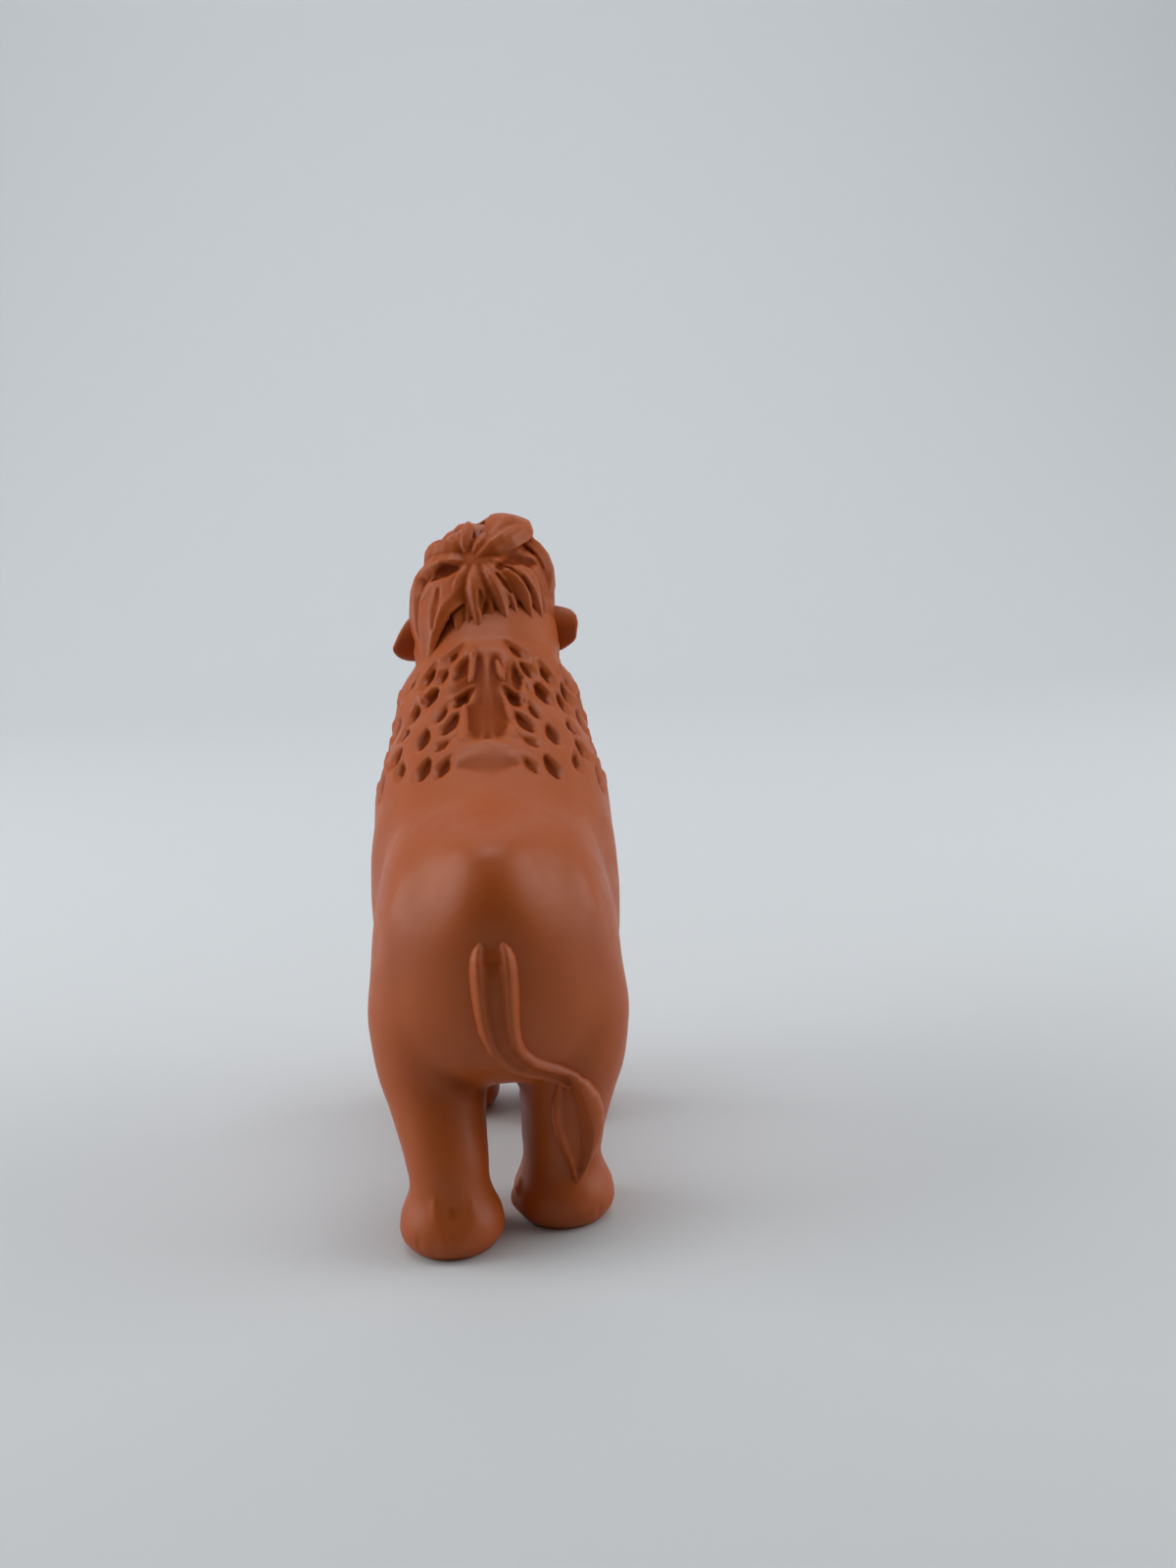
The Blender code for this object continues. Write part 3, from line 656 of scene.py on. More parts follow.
@dataclass
class Mane:
    """The shaggy coat of neck and shoulders: pointed locks with dark hollows between their tips.

    The hollows on the back are placed one by one. Those on the sides and the throat, which follow
    the same rows, are counted round the neck's axis.
    """

    hollows: tuple[Groove, ...] = (
        ((-3.75, 8.05, 65.6), (-4.61, 7.2, 64.6), 0.55, 0.36),
        ((3.19, 8.52, 66.2), (4.78, 7.34, 64.6), 0.60, 0.34),
        ((-6.83, 7.61, 63.6), (-7.96, 6.37, 61.6), 0.75, 0.50),
        ((-9.50, 9.16, 62.0), (-10.15, 8.94, 60.8), 0.60, 0.30),
        ((-6.48, 4.37, 61.3), (-7.84, 3.30, 59.4), 1.15, 0.62),
        ((-2.09, 6.46, 64.8), (-4.29, 4.41, 62.5), 1.50, 0.30),
        ((-4.99, 6.27, 63.7), (-5.99, 4.91, 62.0), 0.45, 0.34),
        ((3.89, 5.46, 63.5), (4.61, 3.35, 61.5), 0.85, 0.34),
        ((4.30, 6.88, 64.4), (6.06, 4.86, 61.9), 0.50, 0.40),
        ((7.22, 7.49, 63.1), (8.19, 6.33, 61.3), 0.80, 0.50),
        ((6.38, 4.42, 61.4), (7.78, 2.72, 59.1), 1.15, 0.62),
        ((10.21, 10.39, 61.7), (10.65, 9.53, 60.3), 0.60, 0.34),
        ((9.17, 5.68, 59.8), (10.10, 3.93, 57.6), 0.70, 0.44),
        ((-2.43, 1.81, 61.0), (-4.22, 0.45, 59.6), 0.90, 0.50),
        ((2.83, 1.90, 61.0), (4.26, 0.26, 59.4), 0.90, 0.50),
        ((-5.06, 0.93, 59.5), (-6.68, -1.91, 57.8), 0.50, 0.38),
        ((-3.75, -1.11, 58.9), (-5.72, -4.79, 56.6), 1.20, 0.46),
        ((-10.47, 2.18, 56.6), (-10.91, -1.03, 55.3), 0.90, 0.52),
        ((-7.62, -2.27, 57.2), (-8.64, -5.56, 55.0), 1.10, 0.46),
        ((-5.02, -6.16, 56.1), (-6.51, -7.31, 55.2), 0.90, 0.28),
        ((-7.31, -8.00, 54.5), (-8.76, -11.10, 52.5), 1.10, 0.44),
        ((-5.00, -9.57, 54.5), (-6.23, -11.82, 53.2), 0.95, 0.36),
        ((5.31, 0.79, 59.4), (6.71, -1.97, 57.7), 0.50, 0.38),
        ((3.76, -1.69, 58.6), (5.82, -4.97, 56.5), 1.20, 0.44),
        ((7.60, -2.55, 57.1), (8.71, -5.59, 55.0), 1.10, 0.44),
        ((10.24, 1.74, 56.7), (11.02, -1.35, 55.1), 0.90, 0.50),
        ((4.54, -6.36, 56.2), (6.29, -7.52, 55.1), 0.90, 0.26),
        ((4.65, -10.10, 54.4), (6.13, -12.33, 53.0), 0.90, 0.30),
        ((6.92, -8.58, 54.4), (9.00, -11.98, 52.0), 1.05, 0.44),
        ((-11.04, -5.10, 53.4), (-11.21, -7.42, 52.3), 0.80, 0.34),
        ((10.95, -5.20, 53.5), (11.17, -7.46, 52.3), 0.80, 0.34),
    )
    crests: tuple[Groove, ...] = (
        ((-1.46, 7.73, 65.9), (-2.04, 3.44, 62.4), 0.70, 0.30),
        ((1.45, 5.82, 64.4), (2.08, 3.62, 62.5), 0.70, 0.30),
        ((-2.93, 0.57, 60.0), (-3.07, -6.75, 56.2), 0.80, 0.26),
        ((2.45, 0.98, 60.3), (3.04, -2.80, 58.2), 0.80, 0.26),
        ((2.89, -4.16, 57.5), (3.40, -6.50, 56.3), 0.80, 0.22),
        ((4.76, 4.15, 62.1), (4.75, 1.05, 59.7), 0.75, 0.26),
        ((0.0, -7.2, 56.1), (-3.0, -8.3, 55.4), 1.1, 0.10),
        ((0.0, -7.2, 56.1), (3.0, -8.5, 55.3), 1.1, 0.10),
    )
    # Smooth hollows down the middle of the back, darkened with painted shade, which merge where they
    # overlap.
    broad: tuple[Groove, ...] = (
        ((-2.8, 4.8, 63.1), (-2.8, 0.9, 60.3), 4.4, 0.40),
        ((-0.9, 5.7, 64.2), (-0.9, 0.0, 59.9), 4.4, 0.40),
        ((1.2, 5.7, 64.2), (1.2, 0.0, 59.9), 4.4, 0.40),
        ((3.2, 4.8, 63.0), (3.2, 0.9, 60.2), 4.4, 0.40),
        ((-1.2, 1.6, 61.2), (-1.2, -5.3, 57.2), 5.4, 0.38),
        ((0.0, 1.6, 61.2), (0.0, -5.6, 57.0), 5.4, 0.38),
        ((1.2, 1.6, 61.2), (1.2, -5.3, 57.2), 5.4, 0.38),
        ((-3.0, -10.9, 54.0), (3.0, -10.9, 54.0), 5.0, 0.26),
    )
    axis_top: Place = (0.0, 23.96, 69.7)
    axis_end: Place = (0.0, 2.91, 43.7)
    # Distance of each row down the neck in mm, and where it starts, in degrees from the back.
    rows: tuple[tuple[float, float], ...] = (
        (11.0, 80.0),
        (14.6, 58.0),
        (18.2, 38.0),
        (21.8, 38.0),
        (25.4, 38.0),
        (29.0, 38.0),
        (32.4, 38.0),
    )
    full: float = 0.50
    tip_height: float = 0.30
    column_angle: float = radians(19)
    lock_length: float = 2.0
    saucer: float = 0.50
    hollow_widening: float = 1.75
    hollow_shortening: float = 0.20
    hollow_deepening: float = 0.95
    crest_strength: float = 1.35
    crest_widening: float = 1.35
    # A hollow deeper than this has a whole saucer, and another one half of it.
    deep: float = 0.33
    # The hollows on the sides and the throat: least distance from those on the back, how far
    # forwards they go, how far they lean away from the back, and their sizes.
    spacing: float = 2.7
    side_front: float = 24.0
    side_lean: float = 0.16
    side_width: float = 1.35
    side_depth: float = 0.42
    side_saucer: float = 0.625
    tip_span: tuple[float, float] = (2.9, 1.3)
    tip_width: float = 1.9
    # The coat stands out between its upper and its lower fade, and behind the front one.
    fade_top: Fade = (10.5, 3.5)
    fade_end: Fade = (37.0, -6.0)
    fade_front: Fade = (23.0, -3.0)

    def side_hollows(self, tree: BVHTree) -> list[Carving]:
        """Place the rows' hollows that run on round the sides to the throat.

        Args:
            tree: the skin's search tree.

        Returns:
            The carvings, each lying on the skin.
        """
        top = Vector(self.axis_top) * MM
        down = (Vector(self.axis_end) * MM - top).normalized()
        back = Vector((1, 0, 0)).cross(down).normalized()
        if back.y > 0:
            back.negate()
        found = []
        for row, (distance, first) in enumerate(self.rows):
            centre = top + down * (distance * MM)
            for side in Side:
                angle = radians(first) + (row % 2) * self.column_angle / 2
                while angle < pi + 0.01:
                    out = back * cos(angle) + Vector((side.value, 0, 0)) * sin(angle)
                    hit = tree.ray_cast(centre + out * 40 * MM, -out)
                    angle += self.column_angle
                    if hit[0] is None or hit[0].y >= self.side_front * MM:
                        continue
                    if self.is_free(hit[0] / MM):
                        way = down + Vector((side.value * self.side_lean, 0, 0))
                        found += self.side_pair(hit[0] / MM, way - hit[1] * way.dot(hit[1]))
        return found

    def side_pair(self, spot: Vector, way: Vector) -> tuple[Carving, Carving]:
        """Make one hollow on the side and the tip of the lock above it.

        Args:
            spot: the hollow's middle, in mm.
            way: the direction in which the locks point there.

        Returns:
            The hollow and the tip, which is a ridge.
        """
        half = way.normalized() * (self.lock_length / 2)
        start, end = tuple(spot - half), tuple(spot + half)
        hollow = Carving(start, end, self.side_width, self.side_depth, self.side_saucer)
        start, end = (tuple(spot - half * share) for share in self.tip_span)
        return hollow, Carving(start, end, self.tip_width, -self.tip_height)

    def fullness(self, points: Array) -> Array:
        """Work out how far the coat stands out from neck and shoulders.

        Args:
            points: places on the skin.

        Returns:
            One offset in metres for each point.
        """
        top, end = np.array(self.axis_top), np.array(self.axis_end)
        way = (end - top) / np.linalg.norm(end - top)
        distance = (points / MM - top) @ way
        share = ramp(distance, *self.fade_top) * ramp(distance, *self.fade_end)
        share *= ramp(points[:, 1] / MM, *self.fade_front)
        return self.full * MM * share**2 * (3 - 2 * share)

    def is_free(self, place: Vector) -> bool:
        """Tell whether no hollow of the back lies near a place in mm."""
        middles = [(Vector(first) + Vector(last)) / 2 for first, last, _, _ in self.hollows]
        return all((place - middle).length > self.spacing for middle in middles)

    def carvings(self, tree: BVHTree) -> list[Carving]:
        """Collect everything that the mane takes from the skin or adds to it.

        Args:
            tree: the skin's search tree.

        Returns:
            The carvings.
        """
        made = []
        for first, last, width, depth in self.hollows:
            start, end = Vector(first), Vector(last)
            trim = (end - start) * self.hollow_shortening
            wide = width * self.hollow_widening
            saucer = self.saucer if depth > self.deep else self.saucer / 2
            deep = depth * self.hollow_deepening
            made.append(Carving(tuple(start + trim), tuple(end - trim), wide, deep, saucer))
        for first, last, width, depth in self.crests:
            wide = width * self.crest_widening
            made.append(Carving(first, last, wide, -depth * self.crest_strength))
        made += [Carving(*patch, merges=True) for patch in self.broad]
        return made + self.side_hollows(tree)


@dataclass
class Feet:
    """Small marks on the padded feet: dimples and knobs of the carved toes and soles."""

    dimples: tuple[Groove, ...] = (
        ((-10.4, -37.4, 2.9), (-10.7, -37.6, 1.9), 0.60, 0.26),
        ((-6.9, -38.7, 3.9), (-6.7, -38.8, 3.0), 0.60, 0.22),
        ((-6.4, -38.2, 6.2), (-6.2, -38.5, 3.6), 2.80, 0.22),
        ((11.0, -30.3, 2.5), (11.1, -30.1, 1.4), 0.60, 0.26),
    )
    knobs: tuple[Groove, ...] = (
        ((-8.5, -37.5, 7.4), (-8.4, -37.8, 5.8), 1.30, 0.26),
        ((-4.0, -37.0, 7.0), (-3.9, -37.3, 5.2), 1.50, 0.18),
        ((-7.4, -39.0, 3.2), (-7.4, -39.0, 2.1), 0.70, 0.12),
        ((0.9, -27.6, 5.4), (0.9, -27.6, 4.0), 1.50, 0.45),
    )
    # Toenails by their angle from straight ahead, in degrees, each with a crease over it.
    nail_angles: tuple[float, ...] = (-52.0, -18.0, 18.0, 52.0)
    nail_height: float = 1.9
    nail_length: float = 1.5
    nail_width: float = 2.5
    nail_rise: float = 0.34
    crease_gap: float = 0.5
    crease_reach: float = 0.9
    crease_width: float = 0.5
    crease_depth: float = 0.16

    def carvings(self, tree: BVHTree) -> list[Carving]:
        """Collect dimples, knobs and toenails.

        Args:
            tree: the skin's search tree.

        Returns:
            The carvings of all four feet.
        """
        made = [Carving(*dimple) for dimple in self.dimples]
        made += [Carving(a, b, width, -height) for a, b, width, height in self.knobs]
        for name in LEG_NODES:
            low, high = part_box(name)
            middle = (low + high) / 2
            sole = [v.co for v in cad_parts[name].data.vertices if v.co.z < 2 * MM]
            middle.x = (min(c.x for c in sole) + max(c.x for c in sole)) / 2
            middle.y = (min(c.y for c in sole) + max(c.y for c in sole)) / 2
            middle.z = self.nail_height * MM
            for angle in self.nail_angles:
                out = Vector((sin(radians(angle)), cos(radians(angle)), 0))
                hit = tree.ray_cast(middle + out * 12 * MM, -out)
                if hit[0] is None:
                    continue
                end = hit[0] / MM
                start = end + Vector((0, 0, self.nail_length))
                made.append(Carving(tuple(start), tuple(end), self.nail_width, -self.nail_rise))
                arch = start + Vector((0, 0, self.crease_gap))
                flat = Vector((out.y, -out.x, 0)) * self.crease_reach
                start, end = tuple(arch - flat), tuple(arch + flat)
                made.append(Carving(start, end, self.crease_width, self.crease_depth))
        return made


@dataclass
class Face:
    """The face and trunk: eye hollows, lids, brow, mouth line and the trunk's folds."""

    centre: Place = (0.0, 23.96, 69.7)
    eye: Place = (8.0, 29.6, 66.2)
    eye_radius: float = 1.25
    # The trunk's upper and lower end, and how far it reaches back and aside.
    trunk_top: float = 63.0
    trunk_tip: float = 21.0
    trunk_back: float = 26.0
    trunk_half_width: float = 6.5
    folds: int = 17
    fold_depth: float = 0.10
    fold_waver: float = 0.25
    fade_front: Fade = (27.5, 3.0)
    fade_top: Fade = (63.0, -4.0)
    fade_tip: Fade = (20.6, 2.0)

    def carvings(self) -> list[Carving]:
        """Collect the hollows and ridges round eyes and mouth, the same on both sides.

        Returns:
            The carvings.
        """
        x, y, z = self.eye
        made = []
        for side in Side:
            s = side.value
            spots = (
                ((x * s, y - 1.7, z - 0.1), (x * s, y + 1.6, z - 0.1), 2.7, 0.42),
                ((x * s, y - 2.4, z + 0.7), ((x - 0.5) * s, y + 2.2, z + 1.9), 1.3, -0.34),
                ((x * s, y - 2.0, z - 1.5), (x * s, y + 1.8, z - 1.7), 0.9, -0.24),
                ((x * s, y - 2.2, z - 2.6), (x * s, y + 1.4, z - 2.8), 0.6, 0.14),
                ((6.6 * s, 22.6, 57.2), (3.6 * s, 31.6, 55.2), 0.8, 0.42),
            )
            for start, end, width, depth in spots:
                made.append(Carving(start, end, width, depth, wide_at=0.5))
        return made

    def fold_offsets(self, points: Array) -> Array:
        """Draw shallow rings across the trunk, deeper on its front, in metres.

        Args:
            points: places on the skin.

        Returns:
            One offset for each point.
        """
        x, y, z = points.T / MM
        down = ramp(z, self.trunk_top, self.trunk_tip - self.trunk_top)
        wave = np.sin(down**0.9 * self.folds * tau + self.fold_waver * np.sin(x * 1.7))
        sharp = -np.clip(-wave, 0, 1) ** 3
        reach = ramp(y, *self.fade_front) * ramp(z, *self.fade_top) * ramp(z, *self.fade_tip)
        on_trunk = (y > self.trunk_back) & (np.abs(x) < self.trunk_half_width)
        return np.where(on_trunk, sharp * reach * self.fold_depth * MM, 0.0)


@dataclass(frozen=True)
class Swell:
    """A soft push on the skin: a centre, three radii and a move, all in mm.

    One that isn't on the middle plane is repeated on the other side.
    """

    centre: Place
    radii: Place
    move: Place

    def offsets(self, points: Array) -> Array:
        """Work out the move of each point.

        Args:
            points: places on the skin.

        Returns:
            One move in metres for each point.
        """
        total = np.zeros_like(points)
        for side in Side if self.centre[0] else (Side.RIGHT,):
            flip = np.array((side.value, 1, 1))
            share = bell(points, np.array(self.centre) * flip, self.radii)
            total += share[:, None] * np.array(self.move) * flip * MM
        return total


@dataclass(frozen=True)
class Plug:
    """Fills the mouth of a socket that the real moulding doesn't have. Places are in mm."""

    place: Place
    outward: Place
    radius: float
    depth: float = 5.0
    sides: int = 24
    # Rays that find the surface round the socket, and how far off they start.
    rays: int = 8
    start: float = 30.0

    def add_to(self, bm: bmesh.types.BMesh, tree: BVHTree) -> None:
        """Add a cylinder that ends just under the surface round the socket.

        Args:
            bm: the bmesh that gets it.
            tree: search tree of the solids with the socket.
        """
        out = Vector(self.outward).normalized()
        turn = out.to_track_quat("Z", "Y").to_matrix()
        heights = []
        for step in range(self.rays):
            angle = step * tau / self.rays
            aside = turn @ Vector((cos(angle), sin(angle), 0)) * self.radius
            start = (Vector(self.place) + aside + out * self.start) * MM
            heights.append(self.start * MM - tree.ray_cast(start, -out)[3])
        top = sum(heights) / len(heights)
        depth = self.depth * MM
        made = bmesh.ops.create_cone(
            bm,
            cap_ends=True,
            segments=self.sides,
            radius1=self.radius * MM,
            radius2=self.radius * MM,
            depth=depth,
        )
        middle = Matrix.Translation(Vector(self.place) * MM + out * (top - depth / 2))
        bmesh.ops.transform(bm, matrix=middle @ turn.to_4x4(), verts=made["verts"])


@dataclass
class Body:
    """Torso, head and legs: one carved skin, cut at the model's seats."""

    plugs: tuple[Plug, ...] = (
        Plug((0.0, -38.0, 35.4), (0.0, -1.0, 0.0), 2.1),
        Plug((0.0, 18.6, 79.9), (0.0, -0.47, 0.88), 2.3),
        Plug((-8.0, 20.6, 66.7), (-1.0, 0.0, 0.0), 1.0),
        Plug((8.0, 20.6, 66.7), (1.0, 0.0, 0.0), 1.0),
    )
    swells: tuple[Swell, ...] = (
        # Rump: fuller in the middle than the haunches beside it.
        Swell((0.0, -29.0, 51.5), (5.2, 9.0, 5.6), (0.0, -2.7, 0.8)),
        Swell((8.6, -33.0, 48.0), (4.2, 7.0, 4.6), (-0.4, 2.6, -0.3)),
        Swell((7.6, -36.0, 43.5), (3.0, 6.0, 4.2), (0.0, 1.3, 0.0)),
        Swell((12.5, -34.0, 37.0), (5.5, 7.0, 12.0), (-0.4, 1.7, 0.0)),
        Swell((0.0, -38.0, 36.0), (30.0, 6.0, 16.0), (0.0, 1.0, 0.0)),
        Swell((0.0, -38.0, 37.0), (6.0, 6.0, 18.0), (0.0, -1.05, 0.0)),
        # Neck: narrow under the ears.
        Swell((11.0, 17.0, 63.0), (4.0, 6.0, 2.6), (-1.1, 0.0, 0.0)),
        # Haunches: narrower than the belly in front of them.
        Swell((15.5, -26.0, 42.0), (5.0, 8.0, 8.0), (-1.1, 0.0, 0.0)),
        Swell((16.5, -15.5, 43.0), (5.0, 4.6, 13.0), (-1.4, 0.0, 0.0)),
    )
    rump_centre: Place = (0.0, -31.0, 43.0)
    rump_radii: Place = (22.0, 15.0, 15.0)
    rump_strength: float = 1.6
    rump_passes: int = 130
    skin_passes: int = 16
    settle_passes: int = 4
    # Low down, what lies in front of this is the trunk and not a leg.
    legs_front: float = 22 * MM
    # The feet: heights over the floor of the pads' and the ankles' middles, how far they spread
    # up and down, and how far they stand out or in.
    pad_height: float = 4.0 * MM
    pad_spread: float = 1.9 * MM
    pad_bulge: float = 0.12 * MM
    ankle_height: float = 8.0 * MM
    ankle_spread: float = 1.7 * MM
    ankle_waist: float = 0.16 * MM
    sole_flat: float = 0.25 * MM
    sole_height: float = 2.4 * MM
    sole_rounding: float = 0.14
    voxel: float = 0.40 * MM
    # Nodes grow by this until they touch across the gaps of their seats.
    bridge: float = 0.17 * MM
    # Where the model's seats divide the skin.
    seat_height: float = 17.25 * MM
    neck_point: Place = (0.0, 13.30, 66.06)
    neck_tilt: float = radians(58)
    trunk_start: float = 23.9 * MM
    middle_y: float = -7.95 * MM
    # Where faces are small: from and to along the neck's axis, and limits behind and below, in mm.
    mane_span: tuple[float, float] = (5.5, 38.5)
    mane_back: float = -14.5
    mane_floor: float = 34.0
    face_start: float = 26.5
    mane: Mane = field(default_factory=Mane)
    feet: Feet = field(default_factory=Feet)
    face: Face = field(default_factory=Face)

    def make_skin(self) -> bpy.types.Mesh:
        """Join the nodes and relax them to one even surface.

        Returns:
            The skin before carving.
        """
        joined = bmesh.new()
        for name in ("torso", "head", *LEG_NODES):
            part = merged_copy(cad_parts[name].data)
            grown(part, self.bridge)
            add_part(joined, part)
        tree = BVHTree.FromBMesh(joined)
        for plug in self.plugs:
            plug.add_to(joined, tree)
        skin = one_skin(joined, "skin", self.voxel)
        surface = Surface(skin)
        surface.relax(self.skin_passes)
        surface.points -= surface.normals() * self.bridge
        surface.relax(self.settle_passes)
        surface.points += sum(swell.offsets(surface.points) for swell in self.swells)
        near = bell(surface.points, np.array(self.rump_centre), self.rump_radii)
        share = np.clip(self.rump_strength * near, 0, 1)[:, None]
        surface.relax(self.rump_passes, share, keep_size=False)
        self.shape_feet(surface)
        height = surface.points[:, 2]
        surface.points[:, 2] = np.where(height < self.sole_flat, 0.0, height)
        surface.write()
        return skin

    def shape_feet(self, surface: Surface) -> None:
        """Make the pads bulge over narrow ankles, and round them towards their soles.

        Args:
            surface: the skin's surface, whose points this moves.
        """
        x, y, height = surface.points.T.copy()
        on_leg = (height < self.seat_height) & (y < self.legs_front)
        pad = self.pad_bulge * np.exp(-(((height - self.pad_height) / self.pad_spread) ** 2))
        waist = np.exp(-(((height - self.ankle_height) / self.ankle_spread) ** 2))
        waist = self.ankle_waist * waist
        normals = surface.normals()
        surface.points += normals * np.where(on_leg, pad - waist, 0.0)[:, None]
        inset = np.clip(1 - height / self.sole_height, 0, 1) ** 2 * self.sole_rounding
        for front in (False, True):
            for side in Side:
                foot = on_leg & ((y > self.middle_y) == front) & (x * side.value > 0)
                middle = surface.points[foot & (height < self.sole_height)].mean(0)
                middle[2] = 0.0
                away = (surface.points[foot] - middle) * np.array((1, 1, 0))
                surface.points[foot] -= away * inset[foot][:, None]

    def refine(self, skin: bpy.types.Mesh) -> bpy.types.Mesh:
        """Divide the faces where the carving is fine.

        Args:
            skin: the relaxed skin, which is replaced.

        Returns:
            A skin with faces half as large on the mane, the face and the trunk.
        """
        bm = bmesh_of(skin)
        bpy.data.meshes.remove(skin)
        edges = [e for e in bm.edges if self.is_fine((e.verts[0].co + e.verts[1].co) / (2 * MM))]
        bmesh.ops.subdivide_edges(bm, edges=edges, cuts=1, use_grid_fill=True)
        return mesh_of(bm, "skin")

    def is_fine(self, place: Vector) -> bool:
        """Tell whether a place needs small faces.

        Args:
            place: a place on the skin, in mm.

        Returns:
            True in the mane, the face and the trunk.
        """
        top, end = Vector(self.mane.axis_top), Vector(self.mane.axis_end)
        distance = (place - top).dot((end - top).normalized())
        on_neck = self.mane_span[0] < distance < self.mane_span[1]
        on_mane = on_neck and place.y > self.mane_back and place.z > self.mane_floor
        return on_mane or place.y > self.face_start

    def carve(self, skin: bpy.types.Mesh) -> None:
        """Cut the mane, the feet, the face and the trunk's folds into the skin.

        Args:
            skin: the refined skin, which this changes.
        """
        tree = tree_of(skin)
        carvings = self.mane.carvings(tree) + self.feet.carvings(tree) + self.face.carvings()
        surface = Surface(skin)
        surface.relax(3)
        moved = self.face.fold_offsets(surface.points) + self.mane.fullness(surface.points)
        carved = carve(surface, tree, carvings, moved)
        surface.points[:, 2] = np.maximum(surface.points[:, 2], 0.0)
        surface.write()
        surface.mark_hollows(10, carved)

    def cut(self, skin: bpy.types.Mesh) -> dict[str, bpy.types.Mesh]:
        """Divide the skin at the seats of the model into closed pieces.

        Args:
            skin: the carved skin.

        Returns:
            A mesh for each node's name.
        """
        bm = bmesh_of(skin)
        neck = Vector(self.neck_point) * MM
        normal = Vector((0, sin(self.neck_tilt), cos(self.neck_tilt)))
        bmesh.ops.bisect_plane(
            bm,
            geom=bm.verts[:] + bm.edges[:] + bm.faces[:],
            dist=WELD,
            plane_co=(0, 0, self.seat_height),
            plane_no=(0, 0, 1),
        )
        behind = [f for f in bm.faces if f.calc_center_median().y < self.trunk_start]
        around = {v for f in behind for v in f.verts}, {e for f in behind for e in f.edges}
        bmesh.ops.bisect_plane(
            bm, geom=[*around[0], *around[1], *behind], dist=WELD, plane_co=neck, plane_no=normal
        )
        owner = {}
        for face in bm.faces:
            centre = face.calc_center_median()
            if centre.z < self.seat_height:
                end = "front" if centre.y > self.middle_y else "hind"
                side = "right" if centre.x > 0 else "left"
                name = f"leg_{end}_{side}"
            elif centre.y > self.trunk_start or (centre - neck).dot(normal) > 0:
                name = "head"
            else:
                name = "torso"
            owner[face.index] = name
        pieces = {}
        for name in ("torso", "head", *LEG_NODES):
            piece = bm.copy()
            piece.faces.ensure_lookup_table()
            others = [f for f in piece.faces if owner[f.index] != name]
            bmesh.ops.delete(piece, geom=others, context="FACES")
            close_cuts(piece)
            pieces[name] = mesh_of(piece, name + "_skin")
        bm.free()
        return pieces

    def build(self) -> tuple[dict[str, bpy.types.Mesh], bpy.types.Mesh]:
        """Make the carved skin and its pieces.

        Returns:
            The pieces by node, and the whole skin for what sits on it.
        """
        skin = self.refine(self.make_skin())
        self.carve(skin)
        return self.cut(skin), skin


def carve(
    surface: Surface, tree: BVHTree, carvings: list[Carving], moved: Array | float = 0.0
) -> Array:
    """Move a surface's points along their normals by what the carvings ask for.

    Args:
        surface: the surface, whose points this moves.
        tree: search tree of the surface before any carving.
        carvings: hollows and ridges. Where saucers overlap, the deeper one counts.
        moved: further offsets in metres, for all points or for each.

    Returns:
        How much painted shade each point gains from the carvings, as a depth in metres.
    """
    normals = surface.normals()
    drops, broad, bowls, shades = np.zeros((4, len(surface.points)))
    for carving in carvings:
        middle = (Vector(carving.start) + Vector(carving.end)) * (MM / 2)
        facing = tree.find_nearest(middle)[1]
        reach = (Vector(carving.end) - Vector(carving.start)).length * MM / 2
        # Its drop has faded out at this distance, and its saucer ends before it.
        reach += (1.6 * carving.width + 2.6) * MM
        offset = surface.points - np.array(middle)
        near = np.flatnonzero(np.einsum("ij,ij->i", offset, offset) < reach * reach)
        drop, bowl = carving.offsets(surface.points[near], normals[near], np.array(facing))
        bowls[near] = np.minimum(bowls[near], bowl)
        if carving.merges:
            broad[near] = np.minimum(broad[near], drop)
        else:
            drops[near] += drop
            shades[near] -= carving.shade * drop
    surface.points += normals * (moved + drops + broad + bowls)[:, None]
    surface.relax(2, keep_size=False)
    surface.write()
    return shades - BROAD_SHADE * broad - SAUCER_SHADE * bowls


def close_cuts(bm: bmesh.types.BMesh) -> None:
    """Fill the open loops that a cut leaves, with flat faces and crisp borders.

    Args:
        bm: the cut piece.
    """
    border = [edge for edge in bm.edges if edge.is_boundary]
    filled = bmesh.ops.holes_fill(bm, edges=border, sides=0)["faces"]
    for edge in border:
        edge.smooth = False
    lids = bmesh.ops.triangulate(bm, faces=filled)["faces"]
    for face in bm.faces:
        face.smooth = True
    for face in lids:
        face.smooth = False


@dataclass(frozen=True)
class Station:
    """One section of a swept shape: its centre, its two directions and its two half sizes."""

    centre: Vector
    across: Vector
    up: Vector
    half_width: float
    half_height: float

    def place(self, x: float, y: float) -> Vector:
        """A point of the unit section, put in place."""
        return self.centre + self.across * (x * self.half_width) + self.up * (y * self.half_height)


def stations_on(
    path: list[tuple[Vector, Vector]], sizes: list[tuple[float, float]]
) -> list[Station]:
    """Stand sections upright across a path that lies on a surface.

    Args:
        path: each section's centre and the surface's normal there.
        sizes: its half width and its half height.

    Returns:
        A station for each place of the path.
    """
    made = []
    last = len(path) - 1
    for index, ((centre, normal), (half_width, half_height)) in enumerate(zip(path, sizes)):
        ahead = path[min(index + 1, last)][0] - path[max(index - 1, 0)][0]
        across = ahead.cross(normal).normalized()
        up = across.cross(ahead).normalized()
        made.append(Station(centre, across, up, half_width, half_height))
    return made


